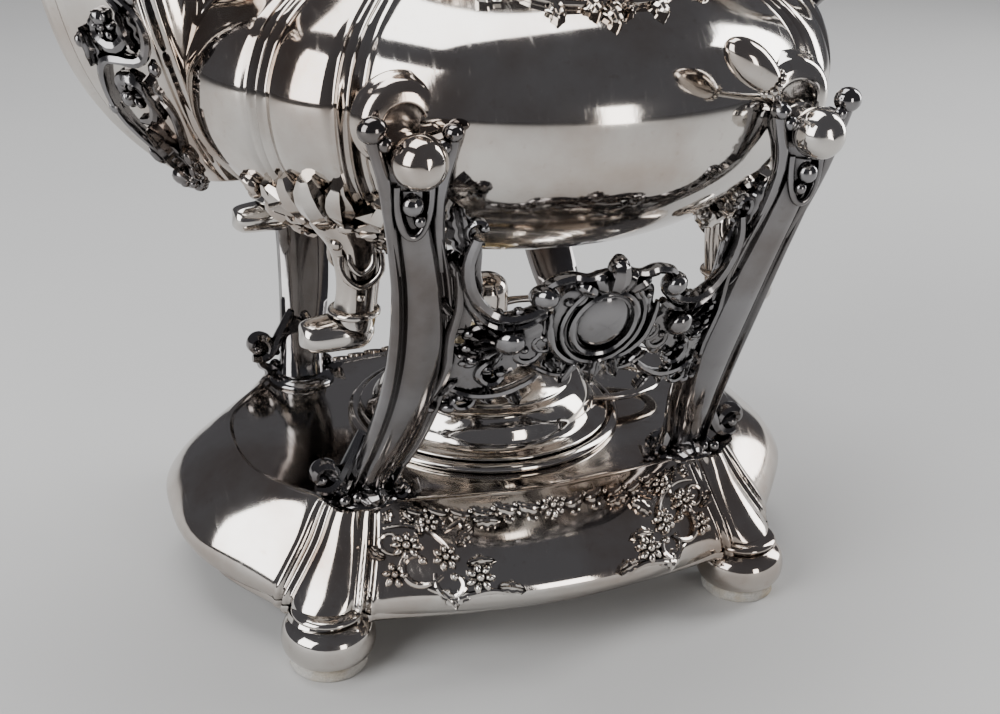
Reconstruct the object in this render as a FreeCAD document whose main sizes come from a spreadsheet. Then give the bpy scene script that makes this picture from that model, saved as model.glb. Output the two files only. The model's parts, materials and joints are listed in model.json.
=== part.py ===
import FreeCAD, Part

import math
import os

import Sketcher

from FreeCAD import Matrix, Placement, Rotation, Vector

# A silver-plated coffee pot that tilts on a four-legged stand over a spirit burner.
# Millimetres. The origin is on the table, midway between the four feet.
# +Z is up, the spout points along -X and the handle along +X. The pot is symmetric about y = 0.

document = FreeCAD.newDocument("TiltingCoffeePot")

DRIVING_DIMENSIONS = {
    # Feet and base of the stand
    "foot_x": 56.0,
    "foot_y": 49.0,
    "pad_radius": 9.5,
    "pad_height": 3.0,
    "bun_radius": 11.5,
    "bun_top": 15.0,
    "base_rim": 13.0,
    "base_top": 37.0,
    "base_wall": 1.6,
    "base_side_reach": 86.0,
    "base_front_reach": 66.0,
    "foot_screw_radius": 2.0,
    # Legs and forks
    "leg_root_x": 43.0,
    "leg_root_y": 34.0,
    "leg_tenon_radius": 2.5,
    "stud_x": 43.5,
    "stud_height": 133.8,
    "stud_radius": 3.2,
    "fork_inner": 72.9,
    "fork_thickness": 3.4,
    "fork_fit": 0.08,
    "ball_y": 81.2,
    "ball_radius": 5.6,
    # Aprons between the legs
    "apron_thickness": 2.4,
    "apron_bow": 9.0,
    # Burner
    "well_radius": 30.0,
    "seat_radius": 37.0,
    "seat_height": 1.8,
    "font_radius": 28.0,
    "flange_radius": 34.0,
    "font_floor": 19.0,
    "font_crown": 55.0,
    "tube_radius": 4.0,
    "tube_wall": 0.9,
    "tube_top": 68.0,
    "snuffer_pivot_x": 17.0,
    "snuffer_pivot_z": 68.5,
    # Pot
    "pot_floor": 98.0,
    "pot_equator": 138.0,
    "pot_wall": 1.4,
    "neck_base": 211.0,
    "neck_top": 240.0,
    "neck_radius": 36.0,
    "rim_radius": 41.5,
    "spout_reach": 148.0,
    "handle_reach": 148.0,
    "pot_foot_x": 48.0,
    "pot_foot_y": 42.0,
    "pot_foot_tip": 79.5,
    "boss_radius": 9.6,
    "catch_angle": 141.0,
    # Lid
    "lid_crown": 266.0,
    "finial_top": 303.0,
    "hinge_x": 47.5,
    "hinge_height": 243.0,
    "knuckle_radius": 2.6,
    "hinge_pin_radius": 1.2,
}

sheet = document.addObject("Spreadsheet::Sheet", "Dimensions")
for row_number, (alias, value) in enumerate(DRIVING_DIMENSIONS.items(), start=1):
    sheet.set("A%d" % row_number, alias)
    sheet.set("B%d" % row_number, str(value))
    sheet.setAlias("B%d" % row_number, alias)
document.recompute()

PARTS = []
SIDES = {"spout": -1, "handle": 1}
FACES = {"front": -1, "back": 1}
CORNERS = [(face + "_" + side, SIDES[side], FACES[face]) for face in FACES for side in SIDES]
UP = Vector(0, 0, 1)


def dim(alias):
    """Value of one driving dimension, read from the sheet."""
    return float(getattr(sheet, alias))


class Size:
    """A length taken from the sheet: alias * times + plus, as a number and as an expression."""

    def __init__(self, alias, plus=0.0, times=1.0):
        self.value = dim(alias) * times + plus
        self.expression = "Dimensions.%s * %s + %s" % (alias, times, plus)


def value_of(size):
    return size.value if isinstance(size, Size) else float(size)


def bind(target, path, size):
    """Sets a property from a Size, by expression, or from a plain number."""
    if isinstance(size, Size):
        target.setExpression(path, size.expression)
    else:
        target.setExpression(path, str(float(size)))


def keep(part, label):
    part.Label = label
    PARTS.append(part)
    return part


def move_to(part, x, y, z):
    for axis, size in zip("xyz", (x, y, z)):
        bind(part, "Placement.Base." + axis, size)


def feature(label, shape, place=Placement()):
    """A Part::Feature that holds a shape at a placement."""
    part = document.addObject("Part::Feature", label)
    part.Shape = shape
    part.Placement = place
    return keep(part, label)


def turned(label, outline, origin=(0, 0, 0)):
    """A PartDesign revolution about Z. The outline lists (radius, height) corners; an entry
    with three items is an arc's end, whose third item is a point that the arc passes through."""
    body = document.addObject("PartDesign::Body", label)
    sketch = body.newObject("Sketcher::SketchObject", label + "_profile")
    xz_plane = [plane for plane in body.Origin.OriginFeatures if plane.Role == "XZ_Plane"][0]
    sketch.AttachmentSupport = [(xz_plane, "")]
    sketch.MapMode = "FlatFace"
    corners = [Vector(value_of(entry[0]), value_of(entry[1]), 0) for entry in outline]
    count = len(outline)
    first_ends = []
    for index in range(count):
        following = (index + 1) % count
        if len(outline[following]) == 3:
            through = Vector(outline[following][2][0], outline[following][2][1], 0)
            turning = (through - corners[index]).cross(corners[following] - through).z
            first, last = corners[index], corners[following]
            if turning < 0:
                first, last = last, first
            sketch.addGeometry(Part.Arc(first, through, last), False)
            first_ends.append(1 if turning > 0 else 2)
        else:
            sketch.addGeometry(Part.LineSegment(corners[index], corners[following]), False)
            first_ends.append(1)
    for index in range(count):
        previous = index - 1 if index > 0 else count - 1
        joint = (previous, 3 - first_ends[previous], index, first_ends[index])
        sketch.addConstraint(Sketcher.Constraint("Coincident", *joint))
    for index in range(count):
        for kind, size in (("DistanceX", outline[index][0]), ("DistanceY", outline[index][1])):
            place = (-1, 1, index, first_ends[index], value_of(size))
            number = sketch.addConstraint(Sketcher.Constraint(kind, *place))
            if isinstance(size, Size):
                sketch.setExpression("Constraints[%d]" % number, size.expression)
        curve = sketch.Geometry[index]
        if not isinstance(curve, Part.LineSegment):
            sketch.addConstraint(Sketcher.Constraint("Radius", index, curve.Radius))
    turn = body.newObject("PartDesign::Revolution", label + "_turning")
    turn.Profile = sketch
    turn.ReferenceAxis = (sketch, ["V_Axis"])
    turn.Angle = 360.0
    move_to(body, *origin)
    return keep(body, label)


def cylinder(name, radius, height, x=0, y=0, z=0, rotation=Rotation()):
    part = document.addObject("Part::Cylinder", name)
    bind(part, "Radius", radius)
    bind(part, "Height", height)
    part.Placement = Placement(Vector(0, 0, 0), rotation)
    move_to(part, x, y, z)
    return part


def reflected(shape, side, face):
    """Copies a shape made for the +X, +Y corner to the corner with the given signs."""
    result = shape.copy()
    if side < 0:
        result = result.mirror(Vector(0, 0, 0), Vector(1, 0, 0))
    if face < 0:
        result = result.mirror(Vector(0, 0, 0), Vector(0, 1, 0))
    return result


def ellipsoid(centre, radii, turn=Rotation()):
    """A solid ellipsoid about a centre, turned after it is stretched."""
    stretch = Matrix()
    stretch.scale(radii[0], radii[1], radii[2])
    ball = Part.makeSphere(1.0).transformGeometry(stretch)
    ball.Placement = Placement(centre, turn)
    return Part.Solid(ball.Shells[0]) if ball.Shells else ball


def frame_across(centre, tangent, side_hint):
    """Two unit vectors that span the plane across a path: along the hint, and across it."""
    along = Vector(tangent).normalize()
    width = (side_hint - along * side_hint.dot(along)).normalize()
    return width, along.cross(width).normalize()


def stadium(centre, tangent, side_hint, half_width, half_depth):
    """A flat bar's section with round edges, across a path."""
    width, depth = frame_across(centre, tangent, side_hint)
    straight = half_width - half_depth
    lower_left = centre - width * straight - depth * half_depth
    lower_right = centre + width * straight - depth * half_depth
    upper_right = centre + width * straight + depth * half_depth
    upper_left = centre - width * straight + depth * half_depth
    edges = [
        Part.makeLine(lower_left, lower_right),
        Part.Arc(lower_right, centre + width * half_width, upper_right).toShape(),
        Part.makeLine(upper_right, upper_left),
        Part.Arc(upper_left, centre - width * half_width, lower_left).toShape(),
    ]
    return Part.Wire(edges)


def oval(centre, tangent, side_hint, half_width, half_depth):
    """An oval section of four curves, across a path."""
    width, depth = frame_across(centre, tangent, side_hint)
    points = []
    for step in range(16):
        angle = 2 * math.pi * step / 16
        sideways = width * (half_width * math.cos(angle))
        points.append(centre + sideways + depth * (half_depth * math.sin(angle)))
    curve = Part.BSplineCurve()
    curve.interpolate(points, PeriodicFlag=True)
    return Part.Wire([curve.toShape()])


def tangents(points):
    """Directions of travel at each point of a path."""
    result = []
    for index in range(len(points)):
        before = points[max(index - 1, 0)]
        after = points[min(index + 1, len(points) - 1)]
        result.append((after - before).normalize())
    return result


def stock(shape):
    """The largest solid of a shape, without the chips that a cut leaves."""
    return max(shape.Solids, key=lambda solid: solid.Volume)


# ---------------------------------------------------------------- stand: base and feet

SIDE_REACH = dim("base_side_reach")
FRONT_REACH = dim("base_front_reach")
BASE_TOP = dim("base_top")
BASE_RIM = dim("base_rim")
BASE_WALL = dim("base_wall")

# Height, side lobe reach, front lobe reach, and the corner ridge's place at that height.
BASE_LEVELS = [
    (BASE_RIM, SIDE_REACH - 6.0, FRONT_REACH - 6.5, 60.0, 52.5),
    (17.0, SIDE_REACH - 1.5, FRONT_REACH - 1.5, 58.5, 51.0),
    (22.0, SIDE_REACH, FRONT_REACH, 55.5, 48.0),
    (29.0, SIDE_REACH - 4.5, FRONT_REACH - 6.5, 52.0, 44.5),
    (34.5, SIDE_REACH - 11.5, FRONT_REACH - 15.0, 50.0, 42.0),
    (BASE_TOP, SIDE_REACH - 16.0, FRONT_REACH - 20.0, 49.0, 41.0),
]


SCREW_LENGTH = 14.0

# Radius of the clearance for a bun foot where it enters the rim of the base.
BUN_AT_RIM = 10.4


def base_outline(height, side, front, corner_x, corner_y):
    """Four rounded lobes that meet in a ridge at each corner."""
    quarter = [
        Vector(side, 0, height),
        Vector(side * 0.962, corner_y * 0.42, height),
        Vector(side * 0.48 + corner_x * 0.46, corner_y * 0.80, height),
        Vector(corner_x, corner_y, height),
        Vector(corner_x * 0.76, corner_y * 0.55 + front * 0.42, height),
        Vector(corner_x * 0.40, front * 0.965, height),
        Vector(0, front, height),
    ]
    points = list(quarter)
    points += [Vector(-point.x, point.y, height) for point in reversed(quarter[:-1])]
    points += [Vector(point.x, -point.y, height) for point in reversed(points[1:-1])]
    curve = Part.BSplineCurve()
    curve.interpolate(points, PeriodicFlag=True)
    return Part.Wire([curve.toShape()])


def lobed_base(inset, lowest, highest):
    levels = [list(level) for level in BASE_LEVELS]
    levels[0][0] = lowest
    levels[-1][0] = highest
    wires = []
    for height, side, front, corner_x, corner_y in levels:
        wires.append(base_outline(height, side - inset, front - inset, corner_x - inset, corner_y - inset))
    return Part.makeLoft(wires, True, False)


def make_stand_base():
    outside = lobed_base(0.0, BASE_RIM, BASE_TOP)
    inside = lobed_base(BASE_WALL, BASE_RIM - 1.0, BASE_TOP - BASE_WALL)
    screw = dim("foot_screw_radius")
    for _, side, face in CORNERS:
        centre = Vector(side * dim("foot_x"), face * dim("foot_y"), BASE_RIM - 1.0)
        lug = Part.makeCylinder(7.5, 10.0, centre)
        inside = inside.cut(lug)
    shell = outside.cut(inside)
    shell = shell.cut(Part.makeCylinder(dim("well_radius") + 0.1, 30.0, Vector(0, 0, BASE_TOP - 15)))
    for _, side, face in CORNERS:
        foot = Vector(side * dim("foot_x"), face * dim("foot_y"), 0)
        shell = shell.cut(Part.makeCylinder(dim("bun_radius") - 3.5, dim("bun_top"), foot))
        shell = shell.cut(Part.makeCone(BUN_AT_RIM, dim("bun_radius") - 3.2, dim("bun_top") - BASE_RIM,
                                        foot + UP * BASE_RIM))
        shell = shell.cut(Part.makeCylinder(screw, dim("pad_height") + SCREW_LENGTH, foot))
        root = Vector(side * dim("leg_root_x"), face * dim("leg_root_y"), BASE_TOP - 6)
        shell = shell.cut(Part.makeCylinder(dim("leg_tenon_radius"), 12.0, root))
    return feature("stand_base", stock(shell))


def make_feet():
    for corner, side, face in CORNERS:
        place_x = Size("foot_x", times=side)
        place_y = Size("foot_y", times=face)
        pad = cylinder("felt_pad_" + corner, Size("pad_radius"), Size("pad_height"), place_x, place_y, 0)
        keep(pad, "felt_pad_" + corner)
        screw = Size("foot_screw_radius")
        floor = Size("pad_height")
        belly = dim("bun_radius")
        turned("bun_foot_" + corner, [
            (4.0, floor),
            (Size("bun_radius", -2.6), floor),
            (Size("bun_radius", -3.6), Size("bun_top"), (belly, 9.0)),
            (screw, Size("bun_top")),
            (screw, Size("pad_height", 2.5)),
            (4.0, Size("pad_height", 2.5)),
        ], (place_x, place_y, 0))
    make_foot_screws()


def make_foot_screws():
    """Cheese-head screws that hold the bun feet, their heads hidden by the felt."""
    screws = []
    for _, side, face in CORNERS:
        foot = Vector(side * dim("foot_x"), face * dim("foot_y"), dim("pad_height"))
        head = Part.makeCylinder(3.9, 2.4, foot)
        shank = Part.makeCylinder(dim("foot_screw_radius"), SCREW_LENGTH, foot)
        screws.append(head.fuse(shank).removeSplitter())
    feature("foot_screws", Part.makeCompound(screws))


# ---------------------------------------------------------------- stand: legs and forks

# A leg's centre line from the base to the fork: x, y, height, half width, half depth.
LEG_PATH = [
    (dim("leg_root_x"), dim("leg_root_y"), BASE_TOP, 6.0, 4.2),
    (41.5, 40.0, 46.5, 6.2, 3.4),
    (38.8, 47.6, 58.5, 7.2, 2.8),
    (37.2, 55.8, 73.0, 7.6, 2.7),
    (37.4, 63.0, 88.0, 7.4, 2.6),
    (39.4, 69.0, 104.0, 6.6, 2.4),
    (42.6, 73.4, 119.0, 5.8, 2.0),
    (dim("stud_x"), 74.6, 126.5, 6.4, 1.7),
]


# Room between a fork and the pot that swings in it.
POT_CLEARANCE = 0.5


def leg_y_at(height):
    """Distance of the leg's centre line from y = 0 at a height."""
    for lower, upper in zip(LEG_PATH, LEG_PATH[1:]):
        if lower[2] <= height <= upper[2]:
            share = (height - lower[2]) / (upper[2] - lower[2])
            return lower[1] + share * (upper[1] - lower[1])
    return LEG_PATH[-1][1]


def leg_shank():
    points = [Vector(x, y, z) for x, y, z, _, _ in LEG_PATH]
    directions = tangents(points)
    directions[0] = UP
    directions[-1] = UP
    wires = []
    for point, direction, (_, _, _, width, depth) in zip(points, directions, LEG_PATH):
        wires.append(stadium(point, direction, Vector(1, 0, 0), width, depth))
    return Part.makeLoft(wires, True, False)


def fork_plate():
    """Flat head of a leg with an open cradle for the stud and two horns."""
    centre_x = dim("stud_x")
    axis = dim("stud_height")
    cradle = dim("stud_radius") + dim("fork_fit")
    inner = dim("fork_inner")
    outline = [
        Vector(centre_x - 6.2, inner, axis - 9.0),
        Vector(centre_x + 6.2, inner, axis - 9.0),
        Vector(centre_x + 10.2, inner, axis + 1.6),
        Vector(centre_x + 8.0, inner, axis + 3.6),
        Vector(centre_x + cradle + 0.8, inner, axis + 2.0),
        Vector(centre_x + cradle, inner, axis),
    ]
    mirrored = [Vector(2 * centre_x - point.x, point.y, point.z) for point in reversed(outline)]
    edges = [Part.makeLine(first, second) for first, second in zip(outline, outline[1:])]
    bottom = Vector(centre_x, inner, axis - cradle)
    edges.append(Part.Arc(outline[-1], bottom, mirrored[0]).toShape())
    edges += [Part.makeLine(first, second) for first, second in zip(mirrored, mirrored[1:])]
    edges.append(Part.makeLine(mirrored[-1], outline[0]))
    return Part.Face(Part.Wire(edges)).extrude(Vector(0, dim("fork_thickness"), 0))


def make_legs():
    centre_x = dim("stud_x")
    axis = dim("stud_height")
    middle = dim("fork_inner") + dim("fork_thickness") / 2
    leg = leg_shank().fuse(fork_plate())
    for sign in (-1, 1):
        horn = ellipsoid(Vector(centre_x + sign * 9.6, middle + 2.6, axis + 2.6), (2.4, 2.2, 2.7))
        leg = leg.fuse(horn)
    swept_pot = pot_form(-POT_CLEARANCE)
    for tilt in (0, 15, 30, 45):
        turned_pot = swept_pot.copy()
        turned_pot.rotate(Vector(centre_x, 0, axis), Vector(0, 1, 0), tilt)
        leg = leg.cut(turned_pot)
    scroll = Part.makeCylinder(3.2, 9.0, Vector(centre_x - 4.5, middle + 2.2, axis - 9.6), Vector(1, 0, 0))
    leg = leg.fuse(scroll)
    tenon = Part.makeCylinder(dim("leg_tenon_radius"), 9.0,
                              Vector(dim("leg_root_x"), dim("leg_root_y"), BASE_TOP - 8.0))
    leg = stock(leg.fuse(tenon))
    for corner, side, face in CORNERS:
        feature("leg_" + corner, reflected(leg, side, face))
    return leg


def make_leg_nuts():
    nuts = []
    for _, side, face in CORNERS:
        root = Vector(side * dim("leg_root_x"), face * dim("leg_root_y"), BASE_TOP - BASE_WALL - 2.6)
        bearings = [math.radians(60 * step) for step in range(7)]
        flat = [root + Vector(4.6 * math.cos(angle), 4.6 * math.sin(angle), 0) for angle in bearings]
        nut = Part.Face(Part.makePolygon(flat)).extrude(Vector(0, 0, 2.6))
        nuts.append(nut.cut(Part.makeCylinder(dim("leg_tenon_radius"), 4.0, root - UP)))
    feature("leg_nuts", Part.makeCompound(nuts))


# ---------------------------------------------------------------- stand: pierced aprons

CARTOUCHE_HEIGHT = 93.0


def bowed_slab(lowest, highest):
    """A curved plate that leans out with the legs and bows forward between them (+Y side)."""
    half_span = 36.0
    wires = []
    for height in (lowest, 0.5 * (lowest + highest), highest):
        inner = leg_y_at(height) - 0.5 * dim("apron_thickness")
        bow = dim("apron_bow")
        rim = []
        for offset in (0.0, dim("apron_thickness")):
            rim.append((Vector(-half_span, inner + offset, height), Vector(0, inner + bow + offset, height),
                        Vector(half_span, inner + offset, height)))
        near, far = rim
        edges = [
            Part.Arc(near[0], near[1], near[2]).toShape(),
            Part.makeLine(near[2], far[2]),
            Part.Arc(far[2], far[1], far[0]).toShape(),
            Part.makeLine(far[0], near[0]),
        ]
        wires.append(Part.Wire(edges))
    return Part.makeLoft(wires, True, False)


def ring_block(centre_x, centre_z, outer, inner, rise=1.0):
    """A ring seen from the front, or an oval one when rise is not 1, deep enough to be trimmed."""
    depth = 60.0
    start = Vector(centre_x, 35.0, centre_z)
    ring = Part.makeCylinder(outer, depth, start, Vector(0, 1, 0))
    if inner > 0:
        ring = ring.cut(Part.makeCylinder(inner, depth, start, Vector(0, 1, 0)))
    if rise != 1.0:
        stretch = Matrix()
        stretch.move(Vector(0, 0, -centre_z))
        stretch.scale(1.0, 1.0, rise)
        stretch.move(Vector(0, 0, centre_z))
        ring = ring.transformGeometry(stretch)
    return ring


def front_block(low_x, high_x, low_z, high_z):
    return Part.makeBox(high_x - low_x, 60.0, high_z - low_z, Vector(low_x, 35.0, low_z))


def make_aprons(leg):
    """Pierced plates: an oval cartouche, swags that rise to the legs, scrolls and a lower band."""
    middle = CARTOUCHE_HEIGHT
    swag_height = middle + 16.0
    swag_reach = 20.5
    band_low = middle - 22.0
    band_high = middle - 15.0
    pattern = ring_block(0, middle, 12.2, 0, 1.04)
    pattern = pattern.fuse(ring_block(0, middle + 13.0, 4.6, 0))
    pattern = pattern.fuse(front_block(-33.0, 33.0, band_low, band_high))
    for sign in (-1, 1):
        swag = ring_block(sign * swag_reach, swag_height, 13.0, 9.4)
        swag = swag.cut(front_block(sign * swag_reach - 9.3, sign * swag_reach + 9.3,
                                    swag_height, swag_height + 20.0))
        swag = swag.cut(front_block(-12.0, 12.0, swag_height + 1.0, swag_height + 20.0))
        pattern = pattern.fuse(swag)
        pattern = pattern.fuse(ring_block(sign * 20.0, middle - 7.0, 9.2, 4.6))
        end = sorted((sign * 28.5, sign * 36.0))
        pattern = pattern.fuse(front_block(end[0], end[1], band_low, middle + 25.0))
    plate = bowed_slab(middle - 25.0, middle + 27.0).common(pattern)
    plate = plate.cut(leg).cut(reflected(leg, -1, 1))
    plate = stock(plate)
    feature("apron_back", plate)
    feature("apron_front", reflected(plate, 1, -1))


# ---------------------------------------------------------------- burner

def make_burner():
    top = dim("base_top")
    seat_top = top + dim("seat_height")
    turned("burner_seat", [
        (Size("well_radius", -1.4), Size("base_top", -8.0)),
        (Size("well_radius"), Size("base_top", -8.0)),
        (Size("well_radius"), Size("base_top")),
        (Size("seat_radius"), Size("base_top")),
        (Size("seat_radius", -2.4), Size("base_top", 2.2), (dim("seat_radius") - 0.4, top + 1.7)),
        (Size("seat_radius", -2.4), Size("base_top", 1.8)),
        (Size("well_radius", -1.4), Size("base_top", 1.8)),
    ])
    wall = 1.2
    floor = dim("font_floor")
    crown = dim("font_crown")
    radius = dim("font_radius")
    turned("lamp_font", [
        (0.0, floor),
        (radius - 3.0, floor),
        (radius, floor + 3.0, (radius - 0.9, floor + 0.9)),
        (radius, seat_top),
        (Size("flange_radius"), seat_top),
        (Size("flange_radius"), seat_top + 1.0),
        (radius + 1.4, seat_top + 2.6, (radius + 3.6, seat_top + 1.5)),
        (12.0, crown - 1.2, (23.5, crown - 7.2)),
        (9.0, crown),
        (7.0, crown),
        (7.0, crown - wall),
        (12.0, crown - 1.2 - wall),
        (radius - wall, seat_top + 2.0, (22.5, crown - 8.4)),
        (radius - wall, floor + 3.0),
        (radius - 3.0, floor + wall, (radius - 1.8, floor + 1.9)),
        (0.0, floor + wall),
    ])
    turned("cotton_packing", [
        (0.0, floor + wall + 0.3),
        (radius - 4.0, floor + wall + 0.3),
        (radius - 1.6, floor + 4.0),
        (radius - 1.6, seat_top),
        (16.0, crown - 9.0),
        (0.0, crown - 9.0),
    ])
    bore = Size("tube_radius")
    turned("lamp_collar", [
        (bore, crown - wall - 2.0),
        (6.9, crown - wall - 2.0),
        (6.9, crown),
        (9.6, crown),
        (9.6, crown + 2.4),
        (7.4, crown + 3.4),
        (bore, crown + 4.0),
    ])
    inside = Size("tube_radius", -dim("tube_wall"))
    turned("wick_tube", [
        (inside, crown - 8.6),
        (bore, crown - 8.6),
        (bore, Size("tube_top", -1.0)),
        (Size("tube_radius", 0.5), Size("tube_top", -0.5)),
        (bore, Size("tube_top")),
        (inside, Size("tube_top")),
    ])
    turned("wick", [
        (0.0, crown - 8.6),
        (Size("tube_radius", -dim("tube_wall") - 0.1), crown - 8.6),
        (Size("tube_radius", -dim("tube_wall") - 0.1), Size("tube_top", 1.6)),
        (1.4, Size("tube_top", 3.0), (2.5, dim("tube_top") + 2.6)),
        (0.0, Size("tube_top", 3.0)),
    ])


# ---------------------------------------------------------------- lamp: handle and hinged snuffer

def make_lamp_handle(font):
    """A flat loop to lift the lamp by, soldered to the flange."""
    base = dim("base_top") + dim("seat_height") + 1.1
    loop = None
    for half_length, half_width in ((18.5, 12.5), (14.0, 8.2)):
        ellipse = Part.Ellipse(Vector(34.5, 0, base), half_length, half_width)
        plate = Part.Face(Part.Wire([ellipse.toShape()])).extrude(Vector(0, 0, 1.8))
        loop = plate if loop is None else loop.cut(plate)
    feature("lamp_handle", stock(loop.cut(font)))


def make_snuffer(font):
    """A domed cap on a hinged arm that closes the wick tube, and the post that holds its pin."""
    pivot_x = dim("snuffer_pivot_x")
    pivot_z = dim("snuffer_pivot_z")
    inner = dim("tube_radius") + 1.1
    outer = inner + 0.8
    skirt = dim("tube_top") - 3.0
    shoulder = dim("tube_top") + 4.4
    crown = shoulder + 5.0
    outline = [
        Part.makeLine(Vector(inner, 0, skirt), Vector(outer, 0, skirt)),
        Part.makeLine(Vector(outer, 0, skirt), Vector(outer, 0, shoulder)),
        Part.Arc(Vector(outer, 0, shoulder), Vector(4.3, 0, crown - 1.5), Vector(0.5, 0, crown)).toShape(),
        Part.makeLine(Vector(0.5, 0, crown), Vector(0, 0, crown)),
        Part.makeLine(Vector(0, 0, crown), Vector(0, 0, crown - 0.9)),
        Part.makeLine(Vector(0, 0, crown - 0.9), Vector(0.5, 0, crown - 0.9)),
        Part.Arc(Vector(0.5, 0, crown - 0.9), Vector(3.6, 0, crown - 2.2),
                 Vector(inner, 0, shoulder)).toShape(),
        Part.makeLine(Vector(inner, 0, shoulder), Vector(inner, 0, skirt)),
    ]
    cap = Part.Face(Part.Wire(outline)).revolve(Vector(0, 0, 0), UP, 360)
    feature("snuffer_cap", stock(cap))
    reach = pivot_x - outer + 0.5
    arm = Part.makeCylinder(1.1, reach, Vector(outer - 0.5, 0, pivot_z), Vector(1, 0, 0))
    arm = arm.fuse(Part.makeCylinder(2.1, 3.0, Vector(pivot_x, -1.5, pivot_z), Vector(0, 1, 0)))
    bore = Part.makeCylinder(0.85, 12.0, Vector(pivot_x, -6.0, pivot_z), Vector(0, 1, 0))
    arm = arm.cut(bore).cut(Part.makeCylinder(outer, 30.0, Vector(0, 0, skirt - 1)))
    feature("snuffer_arm", stock(arm))
    post = Part.makeBox(4.2, 6.8, pivot_z - 44.0, Vector(pivot_x - 2.1, -3.4, 44.0))
    post = post.fuse(Part.makeCylinder(2.1, 6.8, Vector(pivot_x, -3.4, pivot_z), Vector(0, 1, 0)))
    slot = Part.makeBox(8.0, 3.4, 12.0, Vector(pivot_x - 4.0, -1.7, pivot_z - 5.0))
    under_skin = font.common(Part.makeCylinder(60.0, 60.0, Vector(0, 0, 40.0)))
    post = post.cut(slot).cut(Part.makeCylinder(0.8, 12.0, Vector(pivot_x, -6.0, pivot_z), Vector(0, 1, 0)))
    post = max(post.cut(under_skin).Solids, key=lambda solid: solid.BoundBox.ZMax)
    feature("snuffer_post", post)
    pin = Part.makeCylinder(0.8, 8.0, Vector(pivot_x, -4.0, pivot_z), Vector(0, 1, 0))
    feature("snuffer_pin", pin)


# ---------------------------------------------------------------- pot: body

# Height, radius and depth of the scallops between the ribs.
POT_LEVELS = [
    (dim("pot_floor") + 0.5, 36.0, 0.2),
    (dim("pot_floor") + 4.2, 51.0, 0.5),
    (dim("pot_floor") + 10.0, 62.5, 1.2),
    (dim("pot_floor") + 18.0, 72.6, 1.9),
    (dim("pot_floor") + 28.0, 80.0, 2.4),
    (dim("pot_equator"), 83.0, 3.0),
    (dim("pot_equator") + 9.0, 80.5, 2.9),
    (dim("pot_equator") + 15.0, 75.9, 2.6),
    (dim("pot_equator") + 20.0, 68.6, 2.4),
    (dim("pot_equator") + 25.0, 59.2, 2.0),
    (dim("pot_equator") + 31.0, 50.0, 1.4),
    (dim("pot_equator") + 39.0, 43.0, 0.9),
    (dim("pot_equator") + 49.0, 38.6, 0.5),
    (dim("pot_equator") + 60.0, 36.6, 0.3),
    (dim("neck_base"), dim("neck_radius") + 1.5, 0.2),
]

# Ribs stand at these angles from the front and back, in degrees; the widest lobes lie between.
RIB_ANGLES = (41.0, 57.0, 78.0)


def rib_bearings():
    """Bearings of all ribs around the pot, in order, measured from +X."""
    bearings = []
    for middle in (90.0, 270.0):
        bearings += [middle + sign * angle for angle in RIB_ANGLES for sign in (-1, 1)]
    return sorted(bearing % 360.0 for bearing in bearings)


def pot_section(height, radius, scallop, inset):
    """One level of the lobed body: an arc per lobe, from rib to rib."""
    bearings = rib_bearings()
    edges = []
    for index, bearing in enumerate(bearings):
        following = bearings[(index + 1) % len(bearings)]
        spread = (following - bearing) % 360.0
        crest_radius = radius - inset - scallop * 0.5 * max(0.0, 1.0 - spread / 60.0)
        rib_radius = radius - scallop - inset
        points = []
        arc = ((bearing, rib_radius), (bearing + spread / 2, crest_radius), (following, rib_radius))
        for angle, reach in arc:
            turn = math.radians(angle)
            points.append(Vector(reach * math.cos(turn), reach * math.sin(turn), height))
        edges.append(Part.Arc(points[0], points[1], points[2]).toShape())
    return Part.Wire(edges)


def pot_form(inset, lowest_shift=0.0, highest_shift=0.0):
    wires = []
    for index, (height, radius, scallop) in enumerate(POT_LEVELS):
        level = height
        if height > dim("pot_equator"):
            level = height - 0.6 * inset
        if index == 0:
            level = height + lowest_shift
        if index == len(POT_LEVELS) - 1:
            level = height + highest_shift
        wires.append(pot_section(level, radius, scallop, inset))
    return Part.makeLoft(wires, True, False)


def make_pot_body(outside):
    wall = dim("pot_wall")
    inside = pot_form(wall, lowest_shift=wall, highest_shift=0.5)
    shell = outside.cut(inside)
    strainer_radius = 2.2
    for height in (124.0, 138.0, 152.0):
        for offset in (-7.0, 0.0, 7.0):
            hole = Part.makeCylinder(strainer_radius, 30.0, Vector(-66.0, offset, height), Vector(-1, 0, 0))
            shell = shell.cut(hole)
    feature("pot_body", stock(shell))


def make_pot_rings():
    turned("pot_bottom", [
        (0.0, Size("pot_floor", -0.7)),
        (30.0, Size("pot_floor", -0.7)),
        (34.5, Size("pot_floor", 0.5), (33.0, dim("pot_floor") - 0.4)),
        (0.0, Size("pot_floor", 0.5)),
    ])
    base = dim("neck_base")
    top = dim("neck_top")
    narrow = dim("neck_radius") - 2.0
    wall = dim("pot_wall")
    turned("neck", [
        (Size("neck_radius", 1.3 - wall), Size("neck_base")),
        (Size("neck_radius", 3.2), Size("neck_base")),
        (Size("neck_radius", 1.0), Size("neck_base", 3.0), (dim("neck_radius") + 3.0, base + 2.2)),
        (Size("rim_radius", -2.6), Size("neck_top", -3.0), (narrow + 0.6, base + 13.0)),
        (Size("rim_radius"), Size("neck_top", -1.0)),
        (Size("rim_radius"), Size("neck_top")),
        (Size("rim_radius", -3.2), Size("neck_top")),
        (Size("rim_radius", -4.2), Size("neck_top", -3.6)),
        (Size("neck_radius", -0.2), Size("neck_base", 3.0), (narrow - 0.9, base + 13.0)),
    ])


# ---------------------------------------------------------------- pot: spout

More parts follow.
